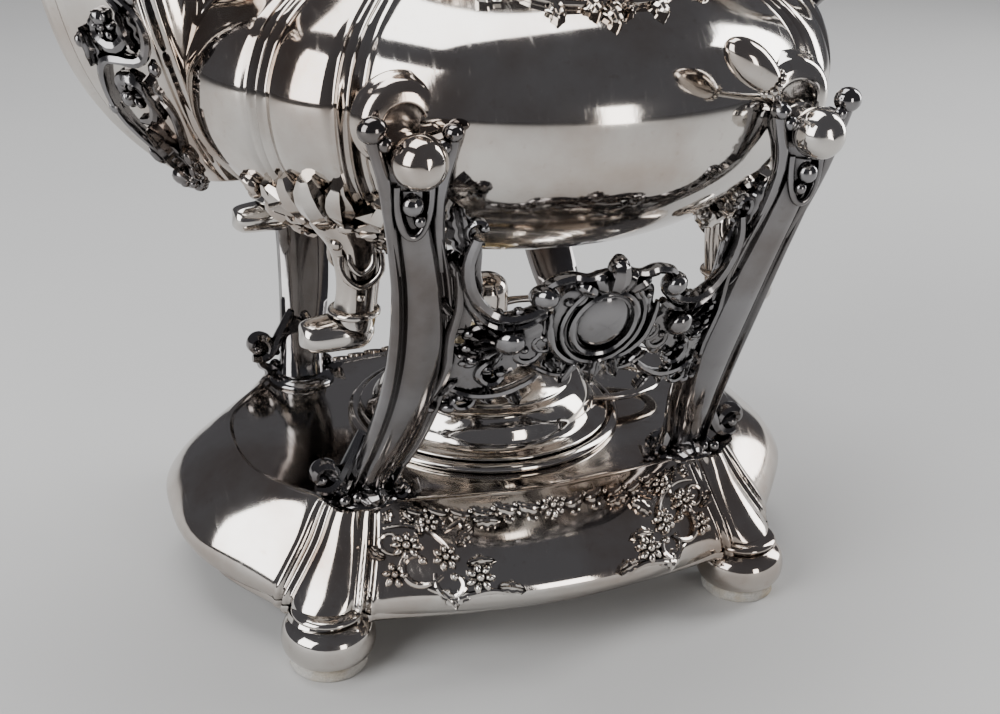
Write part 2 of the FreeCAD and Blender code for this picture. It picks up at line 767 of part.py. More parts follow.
# Height, keel (outer edge), heel (inner edge) and half width of the spout.
SPOUT_LEVELS = [
    (109.0, -76.0, -60.0, 5.0),
    (116.0, -84.8, -60.0, 12.0),
    (127.0, -95.0, -60.0, 17.5),
    (140.0, -102.0, -62.0, 20.0),
    (156.0, -106.4, -66.0, 20.0),
    (174.0, -109.6, -68.0, 17.5),
    (192.0, -114.2, -76.0, 14.0),
    (208.0, -121.6, -92.0, 11.0),
    (223.0, -132.6, -108.5, 9.4),
    (236.0, 0.28 - dim("spout_reach"), -121.0, 9.4),
]


def spout_section(height, keel, heel, half_width, inset):
    """A beak-shaped level: pointed at the keel, round at the heel."""
    keel_x = keel + inset
    heel_x = heel - inset
    length = heel_x - keel_x
    width = half_width - inset
    shoulder_one = keel_x + 0.16 * length
    shoulder_two = keel_x + 0.45 * length
    shoulder_three = keel_x + 0.80 * length
    side = [
        Vector(shoulder_one, 0.48 * width, height),
        Vector(shoulder_two, 0.94 * width, height),
        Vector(shoulder_three, 0.86 * width, height),
    ]
    points = [Vector(keel_x, 0, height)] + side + [Vector(heel_x, 0, height)]
    points += [Vector(point.x, -point.y, height) for point in reversed(side)]
    curve = Part.BSplineCurve()
    curve.interpolate(points, PeriodicFlag=True)
    return Part.Wire([curve.toShape()])


def make_spout(pot):
    outside = Part.makeLoft([spout_section(*level, 0.0) for level in SPOUT_LEVELS], True, False)
    levels = [list(level) for level in SPOUT_LEVELS]
    levels[0][0] += 1.6
    levels[-1][0] += 0.6
    inside = Part.makeLoft([spout_section(*level, 1.5) for level in levels], True, False)
    shell = outside.cut(inside).cut(pot)
    feature("spout", stock(shell))


# ---------------------------------------------------------------- pot: feet, bosses and studs

def make_pot_feet(pot):
    """Cast cabriole feet under the pot, knees on the body and toes turned out along X."""
    centre_x = dim("pot_foot_x")
    centre_y = dim("pot_foot_y")
    tip = dim("pot_foot_tip")
    path = [
        (centre_x + 8.0, centre_y + 3.5, 127.0, 11.0, 7.5),
        (centre_x + 3.0, centre_y + 2.0, 116.0, 9.4, 7.0),
        (centre_x - 2.4, centre_y + 0.5, 105.0, 6.0, 5.6),
        (centre_x - 2.2, centre_y, 95.0, 5.2, 4.8),
        (centre_x - 1.0, centre_y, tip + 5.5, 5.4, 5.0),
    ]
    points = [Vector(x, y, z) for x, y, z, _, _ in path]
    wires = []
    for point, direction, (_, _, _, width, depth) in zip(points, tangents(points), path):
        wires.append(oval(point, direction, Vector(1, 0, 0), width, depth))
    shank = Part.makeLoft(wires, True, False)
    toe = ellipsoid(Vector(centre_x + 3.0, centre_y, tip + 5.0), (8.6, 5.6, 5.6))
    sole = Part.makeBox(60, 60, 20, Vector(centre_x - 30, centre_y - 30, tip - 20.0))
    foot = stock(shank.fuse(toe).cut(sole).cut(pot))
    for corner, side, face in CORNERS:
        feature("pot_foot_" + corner, reflected(foot, side, face))


def make_studs(pot):
    """Ball-ended studs that carry the pot in the forks, each in a domed boss on the body."""
    axis = dim("stud_height")
    centre_x = dim("stud_x")
    shaft_start = Vector(centre_x, 60.0, axis)
    shaft = Part.makeCylinder(dim("stud_radius"), dim("ball_y") - 60.0, shaft_start, Vector(0, 1, 0))
    ball = Part.makeSphere(dim("ball_radius"), Vector(centre_x, dim("ball_y"), axis))
    stud = stock(shaft.fuse(ball).cut(pot))
    reach = dim("boss_radius")
    dome = ellipsoid(Vector(centre_x, 65.6, axis + 4.6), (reach, 5.8, reach))
    boss = stock(dome.cut(pot).cut(shaft))
    for corner, side, face in CORNERS:
        feature("boss_" + corner, reflected(boss, side, face))
        feature("stud_" + corner, reflected(stud, side, face))


def make_catches():
    """Swing catches on the two handle-side studs: a collar, a bent stem and an egg-shaped knob."""
    axis = dim("stud_height")
    centre_x = dim("stud_x")
    turn = math.radians(dim("catch_angle"))
    outwards = Vector(math.cos(turn), 0, math.sin(turn))
    hub = Vector(centre_x, 72.15, axis)
    collar = Part.makeCylinder(4.6, 0.55, hub, Vector(0, 1, 0))
    stem_radius = 0.9
    points = [
        hub + outwards * 4.2 + Vector(0, 0.45, 0),
        hub + outwards * 9.0 + Vector(0, 2.6, 0),
        hub + outwards * 14.0 + Vector(0, 8.6, 0),
        hub + outwards * 18.6 + Vector(0, 12.6, 0),
    ]
    lever = collar
    for first, second in zip(points, points[1:]):
        run = second - first
        lever = lever.fuse(Part.makeCylinder(stem_radius, run.Length, first, run))
        lever = lever.fuse(Part.makeSphere(stem_radius, second))
    bore = Part.makeCylinder(dim("stud_radius") + 0.06, 4.0, hub - Vector(0, 1, 0), Vector(0, 1, 0))
    lever = stock(lever.cut(bore))
    knob_centre = hub + outwards * 27.0 + Vector(0, 13.6, 0)
    tilt = Rotation(Vector(1, 0, 0), outwards)
    knob = ellipsoid(knob_centre, (8.8, 4.4, 4.4), tilt)
    knob = stock(knob.cut(lever))
    for face_name, face in FACES.items():
        feature("catch_lever_" + face_name, reflected(lever, 1, face))
        feature("catch_knob_" + face_name, reflected(knob, 1, face))


# ---------------------------------------------------------------- pot: handle

INSULATOR_LENGTH = 3.0

# The grip's centre line from the lower end to the upper end: x, height, radius.
GRIP_PATH = [
    (96.4, 156.2, 5.4),
    (108.5, 161.0, 6.0),
    (123.0, 169.0, 6.6),
    (135.6, 182.0, 7.0),
    (dim("handle_reach") - 7.0, 198.5, 7.0),
    (136.6, 214.0, 6.6),
    (124.0, 224.4, 6.2),
    (108.6, 227.6, 5.8),
    (95.0, 223.4, 5.4),
]


# Sockets that hold the insulators, from the insulator into the body: x, height, radius.
UPPER_SOCKET = [(77.0, 215.6, 6.4), (62.0, 207.0, 6.8), (48.0, 199.0, 7.6), (33.0, 193.0, 8.6)]
LOWER_SOCKET = [(86.4, 151.2, 7.0), (78.5, 146.8, 9.0), (69.5, 142.0, 11.0)]


def round_bar(path):
    """A bar through circles: a list of (point, direction, radius)."""
    wires = [Part.Wire([Part.makeCircle(radius, point, direction)]) for point, direction, radius in path]
    return Part.makeLoft(wires, True, False)


def along(stations):
    """Points, directions and radii for stations of x, height and radius in the plane y = 0."""
    points = [Vector(x, 0, z) for x, z, _ in stations]
    return [(point, direction, station[2])
            for point, direction, station in zip(points, tangents(points), stations)]


def make_handle(pot):
    grip = along(GRIP_PATH)
    feature("handle_grip", stock(round_bar(grip)))
    pins = []
    ends = (("lower", grip[0], -1, LOWER_SOCKET), ("upper", grip[-1], 1, UPPER_SOCKET))
    for name, end, inwards, stations in ends:
        direction = end[1] * inwards
        insulator = Part.makeCylinder(6.4, INSULATOR_LENGTH, end[0], direction)
        feature("insulator_" + name, insulator)
        start = end[0] + direction * INSULATOR_LENGTH
        socket = round_bar([(start, direction, 5.8)] + along([(start.x, start.z, 5.8)] + stations)[1:])
        cross = start + direction * 3.4
        pin = Part.makeCylinder(1.0, 14.0, cross - Vector(0, 7.0, 0), Vector(0, 1, 0))
        feature("handle_socket_" + name, stock(socket.cut(pot).cut(pin)))
        pins.append(pin)
    feature("handle_pins", Part.makeCompound(pins))


# ---------------------------------------------------------------- lid and its hinge

def make_lid():
    top = dim("neck_top")
    crown = dim("lid_crown")
    wall = 1.3
    seat = 0.3
    plug = dim("rim_radius") - 5.4
    turned("lid", [
        (plug - wall, top - 3.2),
        (plug, top - 3.2),
        (plug, top + seat),
        (Size("rim_radius"), top + seat),
        (Size("rim_radius"), top + seat + 1.4),
        (Size("rim_radius", -3.0), top + seat + 3.2, (dim("rim_radius") - 1.2, top + seat + 2.9)),
        (6.0, crown, (26.0, crown - 9.0)),
        (2.5, crown),
        (2.5, crown - wall),
        (6.0, crown - wall),
        (plug - wall, top + seat + 2.4, (24.6, crown - 10.4)),
    ])
    tip = dim("finial_top")
    turned("lid_finial", [
        (0.0, crown - wall - 4.6),
        (2.5, crown - wall - 4.6),
        (2.5, crown),
        (7.0, crown),
        (3.2, crown + 5.0, (6.2, crown + 3.6)),
        (3.2, crown + 8.0),
        (5.6, crown + 9.4),
        (3.0, crown + 11.4),
        (9.6, crown + 20.0, (6.8, crown + 14.0)),
        (2.2, tip - 3.0, (8.4, tip - 10.4)),
        (0.6, tip, (1.9, tip - 0.9)),
        (0.0, tip),
    ])
    turned("finial_nut", [
        (2.5, crown - wall - 3.4),
        (5.2, crown - wall - 3.4),
        (5.2, crown - wall),
        (2.5, crown - wall),
    ])


def knuckle(low_y, high_y):
    start = Vector(dim("hinge_x"), low_y, dim("hinge_height"))
    return Part.makeCylinder(dim("knuckle_radius"), high_y - low_y, start, Vector(0, 1, 0))


def make_lid_hinge(lid):
    """Three knuckles on one pin. The middle one is the lid's, the outer two are the pot's."""
    axis_x = dim("hinge_x")
    axis_z = dim("hinge_height")
    pin_radius = dim("hinge_pin_radius")
    rim = dim("rim_radius")
    top = dim("neck_top")
    bore = Part.makeCylinder(pin_radius + 0.05, 30.0, Vector(axis_x, -15.0, axis_z), Vector(0, 1, 0))
    arms = None
    for sign in (-1, 1):
        low, high = sorted((sign * 4.1, sign * 9.0))
        arm = knuckle(low, high)
        post = Part.makeBox(3.4, high - low, axis_z - top + 4.6, Vector(axis_x - 1.7, low, top - 4.6))
        arm = arm.fuse(post)
        arms = arm if arms is None else arms.fuse(arm)
    plate = Part.makeBox(axis_x + 1.7 - (rim - 6.0), 18.0, 1.6, Vector(rim - 6.0, -9.0, top - 4.6))
    solid_neck = Part.makeCylinder(rim, 12.0, Vector(0, 0, top - 12.0))
    neck_leaf = arms.fuse(plate).cut(solid_neck).cut(bore)
    feature("neck_leaf", stock(neck_leaf))
    tongue = Part.makeBox(axis_x - (rim - 4.5), 7.4, 1.5, Vector(rim - 4.5, -3.7, axis_z - 0.9))
    lid_leaf = knuckle(-3.7, 3.7).fuse(tongue)
    lid_leaf = lid_leaf.cut(lid.Shape).cut(bore)
    feature("lid_leaf", stock(lid_leaf))
    pin = Part.makeCylinder(pin_radius, 20.4, Vector(axis_x, -10.2, axis_z), Vector(0, 1, 0))
    for sign in (-1, 1):
        pin = pin.fuse(Part.makeSphere(1.6, Vector(axis_x, sign * 10.6, axis_z)))
    feature("hinge_pin", stock(pin))


# ---------------------------------------------------------------- building, checking, writing

def check_document():
    for item in document.Objects:
        if "Invalid" in item.State or "Error" in item.State:
            raise RuntimeError("%s did not build: %s" % (item.Label, item.State))
    for part in PARTS:
        if part.Shape.isNull() or not part.Shape.isValid():
            raise RuntimeError("%s has no valid shape" % part.Label)


def write_parts():
    os.makedirs("parts", exist_ok=True)
    for part in PARTS:
        part.Shape.exportStep("parts/%s.step" % part.Label)


def report_parts():
    whole = None
    for part in PARTS:
        box = part.Shape.BoundBox
        whole = FreeCAD.BoundBox(box) if whole is None else whole.united(box)
        print("%-28s solids %d volume %10.1f  x %7.2f %7.2f  y %7.2f %7.2f  z %7.2f %7.2f" % (
            part.Label, len(part.Shape.Solids), part.Shape.Volume,
            box.XMin, box.XMax, box.YMin, box.YMax, box.ZMin, box.ZMax))
    print("whole", whole)


make_stand_base()
make_feet()
leg_solid = make_legs()
make_leg_nuts()
make_aprons(leg_solid)
make_burner()
pot_outside = pot_form(0.0)
make_pot_body(pot_outside)
make_pot_rings()
make_spout(pot_outside)
make_pot_feet(pot_outside)
make_studs(pot_outside)
make_catches()
make_handle(pot_outside)
make_lid()
document.recompute()
named = {part.Label: part for part in PARTS}
make_lamp_handle(named["lamp_font"].Shape)
make_snuffer(named["lamp_font"].Shape)
make_lid_hinge(named["lid"])
document.recompute()
check_document()
report_parts()
write_parts()
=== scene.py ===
import bisect
import json
import math
import random

import bmesh
import bpy
from mathutils import Matrix, Vector


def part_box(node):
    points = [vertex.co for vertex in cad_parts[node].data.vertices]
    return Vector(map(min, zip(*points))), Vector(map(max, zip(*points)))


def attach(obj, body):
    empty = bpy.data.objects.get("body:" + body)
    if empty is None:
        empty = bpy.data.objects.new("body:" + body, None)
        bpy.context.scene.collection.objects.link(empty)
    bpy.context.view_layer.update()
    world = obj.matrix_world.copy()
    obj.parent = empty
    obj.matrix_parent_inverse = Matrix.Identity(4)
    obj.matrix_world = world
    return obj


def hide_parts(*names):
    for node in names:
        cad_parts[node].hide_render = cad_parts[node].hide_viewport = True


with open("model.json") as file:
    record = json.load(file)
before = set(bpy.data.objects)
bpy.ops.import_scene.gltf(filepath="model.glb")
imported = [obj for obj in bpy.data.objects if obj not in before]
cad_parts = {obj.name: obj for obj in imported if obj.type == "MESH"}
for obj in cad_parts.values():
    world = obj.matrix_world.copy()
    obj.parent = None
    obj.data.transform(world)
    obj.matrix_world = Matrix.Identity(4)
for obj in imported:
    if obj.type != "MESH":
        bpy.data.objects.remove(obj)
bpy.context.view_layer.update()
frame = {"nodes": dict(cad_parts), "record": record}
MM = 0.001
TAU = 2 * math.pi
FACES = {"front": -1, "back": 1}
SIDES = {"spout": -1, "handle": 1}
CORNERS = [(face + "_" + side, SIDES[side], FACES[face]) for face in FACES for side in SIDES]
chance = random.Random(7)


def span_of(node):
    """Lowest and highest corner of a CAD node, in millimetres."""
    low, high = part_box(node)
    return low / MM, high / MM


# ---------------------------------------------------------------- curves and meshes, in millimetres

def blended(a, b, c, d, t):
    return tuple(0.5 * (2 * q + (r - p) * t + (2 * p - 5 * q + 4 * r - s) * t * t
                        + (3 * q - p - 3 * r + s) * t ** 3) for p, q, r, s in zip(a, b, c, d))


def curve_at(points, place, closed=False):
    """A smooth curve through points; place runs from 0 to the number of spans."""
    count = len(points)
    span = int(math.floor(place)) if closed else min(int(place), count - 2)
    around = []
    for offset in (-1, 0, 1, 2):
        index = (span + offset) % count if closed else min(max(span + offset, 0), count - 1)
        around.append(points[index])
    return blended(*around, place - span)


def smooth(points, steps, closed=False):
    spans = len(points) if closed else len(points) - 1
    result = [curve_at(points, index / steps, closed) for index in range(spans * steps)]
    return result if closed else result + [tuple(points[-1])]


def place_finder(points, column):
    """A function that gives the place at which a rising column of a curve reaches a value."""
    steps = 40
    table = [curve_at(points, index / steps)[column] for index in range((len(points) - 1) * steps)]

    def find(value):
        return max(bisect.bisect_left(table, value), 1) / steps - 0.5 / steps
    return find


def bump(distance, width):
    return math.exp(-(distance / width) ** 2)


def mirrored(side, shift=0, scale=1):
    """Two functions for relief that is repeated on the other side: one for places, one for angles."""
    def at(u, v):
        return (side * u, shift + scale * v)

    def facing(angle):
        return angle if side > 0 else 180 - angle

    return at, facing


class Mould:
    """Gathers the vertices and faces of one piece. A place function lays flat relief on a surface."""

    def __init__(self, place=None):
        self.points = []
        self.faces = []
        self.place = place

    def rings(self, rings, ends="cap"):
        start = len(self.points)
        width = len(rings[0])
        for ring in rings:
            for point in ring:
                self.points.append(Vector(self.place(*point) if self.place else point))
        rows = len(rings) if ends == "loop" else len(rings) - 1
        for row in range(rows):
            here = start + row * width
            there = start + (row + 1) % len(rings) * width
            for column in range(width):
                beside = (column + 1) % width
                self.faces.append((here + column, here + beside, there + beside, there + column))
        if ends == "cap":
            self.faces.append(tuple(range(start + width - 1, start - 1, -1)))
            last = start + (len(rings) - 1) * width
            self.faces.append(tuple(range(last, last + width)))

    def lathe(self, profile, centre=(0, 0, 0), segments=96, ends="cap", shape=None):
        """Turns (radius, height) pairs about Z; shape(angle, radius, height) may change the radius."""
        rings = []
        for radius, height in profile:
            ring = []
            for step in range(segments):
                angle = TAU * step / segments
                reach = shape(angle, radius, height) if shape else radius
                ring.append((centre[0] + reach * math.cos(angle), centre[1] + reach * math.sin(angle),
                             centre[2] + height))
            rings.append(ring)
        self.rings(rings, ends)

    def tube(self, path, radii, sides=12, flat=1.0, hint=(0, 0, 1)):
        """A round or flattened bar along a path; flat is its thickness along the hint."""
        path = [Vector(point) for point in path]
        rings = []
        for index, point in enumerate(path):
            ahead = path[min(index + 1, len(path) - 1)] - path[max(index - 1, 0)]
            across = ahead.cross(Vector(hint)).normalized()
            upward = across.cross(ahead).normalized()
            radius = radii[index] if isinstance(radii, (list, tuple)) else radii
            rings.append([point + across * (radius * math.cos(TAU * step / sides))
                          + upward * (radius * flat * math.sin(TAU * step / sides)) for step in range(sides)])
        self.rings(rings)

    def ball(self, centre, radii, sides=14, stacks=9, turn=None):
        rings = []
        for stack in range(stacks):
            polar = math.pi * (stack + 0.3) / (stacks - 0.4)
            ring = []
            for step in range(sides):
                angle = TAU * step / sides
                local = Vector((radii[0] * math.sin(polar) * math.cos(angle),
                                radii[1] * math.sin(polar) * math.sin(angle), radii[2] * math.cos(polar)))
                ring.append(Vector(centre) + (turn @ local if turn else local))
            rings.append(ring)
        self.rings(rings)

    # Relief: the next four lie in the plane of u and v and stand up along w.
    def stroke(self, path, width, height=None, taper=0.35, sides=8, steps=6):
        """A raised line that thins towards both ends."""
        line = smooth(path, steps)
        tall = height if height else width * 0.8
        rings = []
        for index, (u, v) in enumerate(line):
            share = index / (len(line) - 1)
            size = taper + (1 - taper) * math.sin(math.pi * min(max(share, 0.02), 0.98)) ** 0.5
            before, after = line[max(index - 1, 0)], line[min(index + 1, len(line) - 1)]
            run = Vector((after[0] - before[0], after[1] - before[1])).normalized()
            ring = []
            for step in range(sides):
                angle = TAU * step / sides
                sideways = 0.5 * width * size * math.cos(angle)
                ring.append((u - run.y * sideways, v + run.x * sideways,
                             tall * size * (0.35 + 0.65 * math.sin(angle))))
            rings.append(ring)
        self.rings(rings)

    def scroll(self, centre, radius, start, sweep, width, close=0.25, height=None):
        """A spiral that ends in a bead: sweep is in degrees, positive anticlockwise."""
        count = max(int(abs(sweep) / 30), 5)
        path = []
        for step in range(count + 1):
            share = step / count
            reach = radius * (1 - (1 - close) * share ** 0.8)
            angle = math.radians(start + sweep * share)
            path.append((centre[0] + reach * math.cos(angle), centre[1] + reach * math.sin(angle)))
        self.stroke(path, width, height, steps=3)
        bead = width * 0.62
        self.ball((path[-1][0], path[-1][1], bead * 0.5), (bead, bead, bead), 10, 6)

    def leaf(self, base, angle, length, width, height=1.2, lobes=3, curl=0.6, bend=0.0):
        """A leaf with scalloped edges, side veins and a raised tip."""
        rows = 6 * lobes
        rings = []
        for row in range(rows + 1):
            share = row / rows
            outline = math.sin(math.pi * min(0.08 + 0.9 * share, 0.985)) ** 0.8
            notch = 1 - 0.3 * abs(math.cos(math.pi * lobes * share)) ** 3
            half = 0.5 * width * outline * notch
            turn = math.radians(angle + bend * share)
            u = base[0] + length * share * math.cos(turn)
            v = base[1] + length * share * math.sin(turn)
            ring = []
            for step in range(9):
                across = -1 + step / 4
                rise = height * (1 - 0.75 * across * across) * (0.55 + 0.45 * outline)
                rise += curl * share ** 3 + 0.28 * height * abs(math.cos(math.pi * 2 * across))
                ring.append((u - math.sin(turn) * half * across, v + math.cos(turn) * half * across, rise))
            for across in (0.8, 0.0, -0.8):
                ring.append((u - math.sin(turn) * half * across, v + math.cos(turn) * half * across, -0.5))
            rings.append(ring)
        self.rings(rings)

    def flower(self, centre, radius, petals=7, height=1.5, start=0.0):
        for petal in range(petals):
            angle = TAU * petal / petals + start
            middle = (centre[0] + 0.62 * radius * math.cos(angle),
                      centre[1] + 0.62 * radius * math.sin(angle))
            turn = Matrix.Rotation(angle, 3, "Z")
            self.ball((middle[0], middle[1], 0.3 * height),
                      (0.42 * radius, 0.27 * radius, 0.62 * height), 8, 6, turn)
        self.ball((centre[0], centre[1], 0.5 * height), (0.3 * radius, 0.3 * radius, 0.75 * height), 10, 6)

    def merged(self, other, side=1, face=1):
        """Adds another mould's shape, mirrored in X or Y when the signs are negative."""
        start = len(self.points)
        self.points += [Vector((point.x * side, point.y * face, point.z)) for point in other.points]
        self.faces += [tuple(start + index for index in corner) for corner in other.faces]
        return self


def hoop(centre, across, other, radius, count):
    """A ring of points round a centre, in the plane of two directions."""
    return [centre + (across * math.cos(TAU * step / count) + other * math.sin(TAU * step / count)) * radius
            for step in range(count)]


def cast(name, mould, body, material, replaced=(), crease=38.0):
    """Makes the object of a mould and ties it to its CAD body."""
    mesh = bpy.data.meshes.new(name)
    mesh.from_pydata([tuple(point * MM) for point in mould.points], [], mould.faces)
    cleaner = bmesh.new()
    cleaner.from_mesh(mesh)
    bmesh.ops.recalc_face_normals(cleaner, faces=cleaner.faces)
    cleaner.to_mesh(mesh)
    cleaner.free()
    mesh.polygons.foreach_set("use_smooth", [True] * len(mesh.polygons))
    mesh.set_sharp_from_angle(angle=math.radians(crease))
    mesh.materials.append(material)
    piece = bpy.data.objects.new(name, mesh)
    bpy.context.scene.collection.objects.link(piece)
    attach(piece, body)
    if replaced:
        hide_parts(*replaced)
    return piece


# ---------------------------------------------------------------- materials

class Nodes:
    """A short way to build a material's node tree."""

    def __init__(self, name):
        self.material = bpy.data.materials.new(name)
        self.material.use_nodes = True
        self.tree = self.material.node_tree
        self.shader = self.tree.nodes["Principled BSDF"]
        self.place = self.tree.nodes.new("ShaderNodeTexCoord").outputs["Object"]

    def link(self, source, target):
        self.tree.links.new(source, target)

    def node(self, kind, links=(), **settings):
        node = self.tree.nodes.new(kind)
        for key, value in settings.items():
            if key in node.inputs:
                node.inputs[key].default_value = value
            else:
                setattr(node, key, value)
        for key, source in dict(links).items():
            self.link(source, node.inputs[key])
        return node

    def noise(self, scale, detail=4.0, stretch=None, roughness=0.55):
        place = self.place
        if stretch:
            place = self.node("ShaderNodeMapping", {"Vector": place}, Scale=stretch).outputs["Vector"]
        return self.node("ShaderNodeTexNoise", {"Vector": place}, Scale=scale, Detail=detail,
                         Roughness=roughness).outputs["Fac"]

    def ramp(self, source, low, high, start=0.0, end=1.0):
        node = self.node("ShaderNodeMapRange", {"Value": source})
        for key, value in (("From Min", low), ("From Max", high), ("To Min", start), ("To Max", end)):
            node.inputs[key].default_value = value
        return node.outputs["Result"]

    def mix(self, factor, first, second, mode="MIX"):
        node = self.node("ShaderNodeMix", data_type="RGBA", blend_type=mode)
        for index, value in ((0, factor), (6, first), (7, second)):
            if isinstance(value, (float, int)):
                node.inputs[index].default_value = value
            elif isinstance(value, tuple):
                node.inputs[index].default_value = value
            else:
                self.link(value, node.inputs[index])
        return node.outputs[2]

    def maths(self, operation, first, second):
        node = self.node("ShaderNodeMath", operation=operation)
        for index, value in enumerate((first, second)):
            if isinstance(value, (float, int)):
                node.inputs[index].default_value = value
            else:
                self.link(value, node.inputs[index])
        return node.outputs[0]

    def bump(self, height, strength, distance, under=None):
        links = {"Height": height}
        if under:
            links["Normal"] = under
        node = self.node("ShaderNodeBump", links, Strength=strength, Distance=distance)
        return node.outputs["Normal"]


def silver(name, clean, stain, crevice, stain_level, roughness):
    """Polished plate: brown film in patches, dark tarnish in the hollows, hairline scratches."""
    made = Nodes(name)
    hollow = made.node("ShaderNodeAmbientOcclusion", Distance=0.0035, samples=4, only_local=True)
    depth = made.ramp(hollow.outputs["AO"], 0.35, 0.86, 1.0, 0.0)
    patches = made.ramp(made.noise(26.0, 6.0), stain_level, stain_level + 0.3)
    specks = made.ramp(made.noise(420.0, 3.0), 0.62, 0.8, 0.0, 0.35)
    colour = made.mix(patches, clean, stain)
    colour = made.mix(specks, colour, stain)
    colour = made.mix(depth, colour, crevice)
    made.link(colour, made.shader.inputs["Base Color"])
    made.shader.inputs["Metallic"].default_value = 1.0
    haze = made.ramp(made.noise(60.0, 5.0), 0.35, 0.75, roughness, roughness + 0.09)
    scratched = made.ramp(made.noise(900.0, 2.0, (1.0, 0.06, 0.25)), 0.6, 0.75, 0.0, 0.1)
    made.link(made.maths("ADD", haze, scratched), made.shader.inputs["Roughness"])
    wobble = made.bump(made.noise(38.0, 1.0), 0.06, 0.002)
    hairs = made.bump(made.noise(1500.0, 2.0, (1.0, 0.05, 0.3)), 0.035, 0.0002, wobble)
    made.link(hairs, made.shader.inputs["Normal"])
    return made.material


def brass(name, colour, dull):
    made = Nodes(name)
    patches = made.ramp(made.noise(140.0, 6.0), 0.4, 0.65)
    made.link(made.mix(patches, colour, dull), made.shader.inputs["Base Color"])
    made.shader.inputs["Metallic"].default_value = 1.0
    made.link(made.ramp(made.noise(300.0), 0.3, 0.7, 0.18, 0.42), made.shader.inputs["Roughness"])
    made.link(made.bump(made.noise(700.0, 3.0, (1.0, 1.0, 6.0)), 0.15, 0.0003), made.shader.inputs["Normal"])
    return made.material


def woolly(name, clean, stained, fibre):
    """Felt or cotton: matted fibres, glue or soot stains and a soft sheen."""
    made = Nodes(name)
    stain = made.ramp(made.noise(90.0, 5.0), 0.45, 0.7)
    lint = made.noise(fibre, 6.0, roughness=0.8)
    shade = made.ramp(lint, 0.3, 0.75, 0.55, 1.0)
    colour = made.mix(stain, clean, stained)
    made.link(made.mix(1.0, colour, shade, "MULTIPLY"), made.shader.inputs["Base Color"])
    made.shader.inputs["Roughness"].default_value = 0.95
    made.shader.inputs["Sheen Weight"].default_value = 0.35
    made.link(made.bump(lint, 0.9, 0.0008), made.shader.inputs["Normal"])
    return made.material


def resin(name):
    made = Nodes(name)
    grain = made.ramp(made.noise(120.0, 5.0, (1.0, 1.0, 9.0)), 0.35, 0.7)
    made.link(made.mix(grain, (0.82, 0.77, 0.65, 1), (0.70, 0.62, 0.47, 1)), made.shader.inputs["Base Color"])
    made.link(made.ramp(made.noise(200.0), 0.3, 0.7, 0.25, 0.4), made.shader.inputs["Roughness"])
    made.shader.inputs["Subsurface Weight"].default_value = 0.05
    return made.material


SILVER = silver("silver", (0.63, 0.60, 0.565, 1), (0.36, 0.27, 0.21, 1), (0.05, 0.038, 0.03, 1), 0.44, 0.05)
# A darker copy of the silver: its lower clean, film and hollow colours are painted dark reflection, standing
# in for the dark surroundings mirrored in the legs, aprons, spout scrolls and leaf tabs.
SILVER_PAINTED_DARK_REFLECTION = silver("dark_silver", (0.25, 0.245, 0.25, 1), (0.12, 0.10, 0.09, 1), (0.012, 0.010, 0.009, 1),
                     0.42, 0.07)
BRASS = brass("lamp_brass", (0.78, 0.66, 0.42, 1), (0.38, 0.27, 0.15, 1))
FIXINGS = brass("fixings", (0.60, 0.47, 0.25, 1), (0.25, 0.18, 0.10, 1))
FELT = woolly("felt", (0.83, 0.80, 0.74, 1), (0.62, 0.48, 0.26, 1), 1800.0)
COTTON = woolly("cotton", (0.80, 0.77, 0.69, 1), (0.30, 0.24, 0.18, 1), 2600.0)
RESIN = resin("insulator")
# The dark_silver slot takes the darker copy, whose colour is painted dark reflection.
MATERIALS = {"silver": SILVER, "dark_silver": SILVER_PAINTED_DARK_REFLECTION, "lamp_brass": BRASS, "fixings": FIXINGS,
             "felt": FELT, "cotton": COTTON, "insulator": RESIN}


def finish_cad_nodes():
    """Every CAD node that stays visible takes its slot's material and smooth shading."""
    slots = {entry["node"]: entry["material_slot"] for entry in frame["record"]["subparts"]}
    for node, item in frame["nodes"].items():
        item.data.materials.clear()
        item.data.materials.append(MATERIALS[slots[node]])
        item.data.polygons.foreach_set("use_smooth", [True] * len(item.data.polygons))
        item.data.set_sharp_from_angle(angle=math.radians(30))


# ---------------------------------------------------------------- camera, floor and light

def aimed(item, place, target, roll=0.0):
    """Points an object's -Z axis at a target, then rolls it."""
    back = (Vector(place) - Vector(target)).normalized()
    right = Vector((0, 0, 1)).cross(back).normalized()
    up = back.cross(right)
    turned_right = right * math.cos(roll) + up * math.sin(roll)
    turned_up = up * math.cos(roll) - right * math.sin(roll)
    item.matrix_world = Matrix((
        (turned_right.x, turned_up.x, back.x, place[0]),
        (turned_right.y, turned_up.y, back.y, place[1]),
        (turned_right.z, turned_up.z, back.z, place[2]),
        (0, 0, 0, 1)))


def make_camera():
    data = bpy.data.cameras.new("view")
    data.lens = 51.2
    data.clip_start = 0.01
    camera = bpy.data.objects.new("view", data)
    bpy.context.scene.collection.objects.link(camera)
    azimuth, elevation, distance = math.radians(-20.63), math.radians(24.26), 0.38714
    target = Vector((0.00444, 0, 0.05224))
    back = Vector((math.sin(azimuth) * math.cos(elevation), -math.cos(azimuth) * math.cos(elevation),
                   math.sin(elevation)))
    aimed(camera, target + back * distance, target, math.radians(1.84))
    bpy.context.scene.camera = camera


def area_light(name, place, target, size, power, colour=(1, 1, 1)):
    data = bpy.data.lights.new(name, "AREA")
    data.shape = "RECTANGLE"
    data.size, data.size_y = size
    data.energy = power
    data.color = colour
    light = bpy.data.objects.new(name, data)
    bpy.context.scene.collection.objects.link(light)
    aimed(light, place, target)


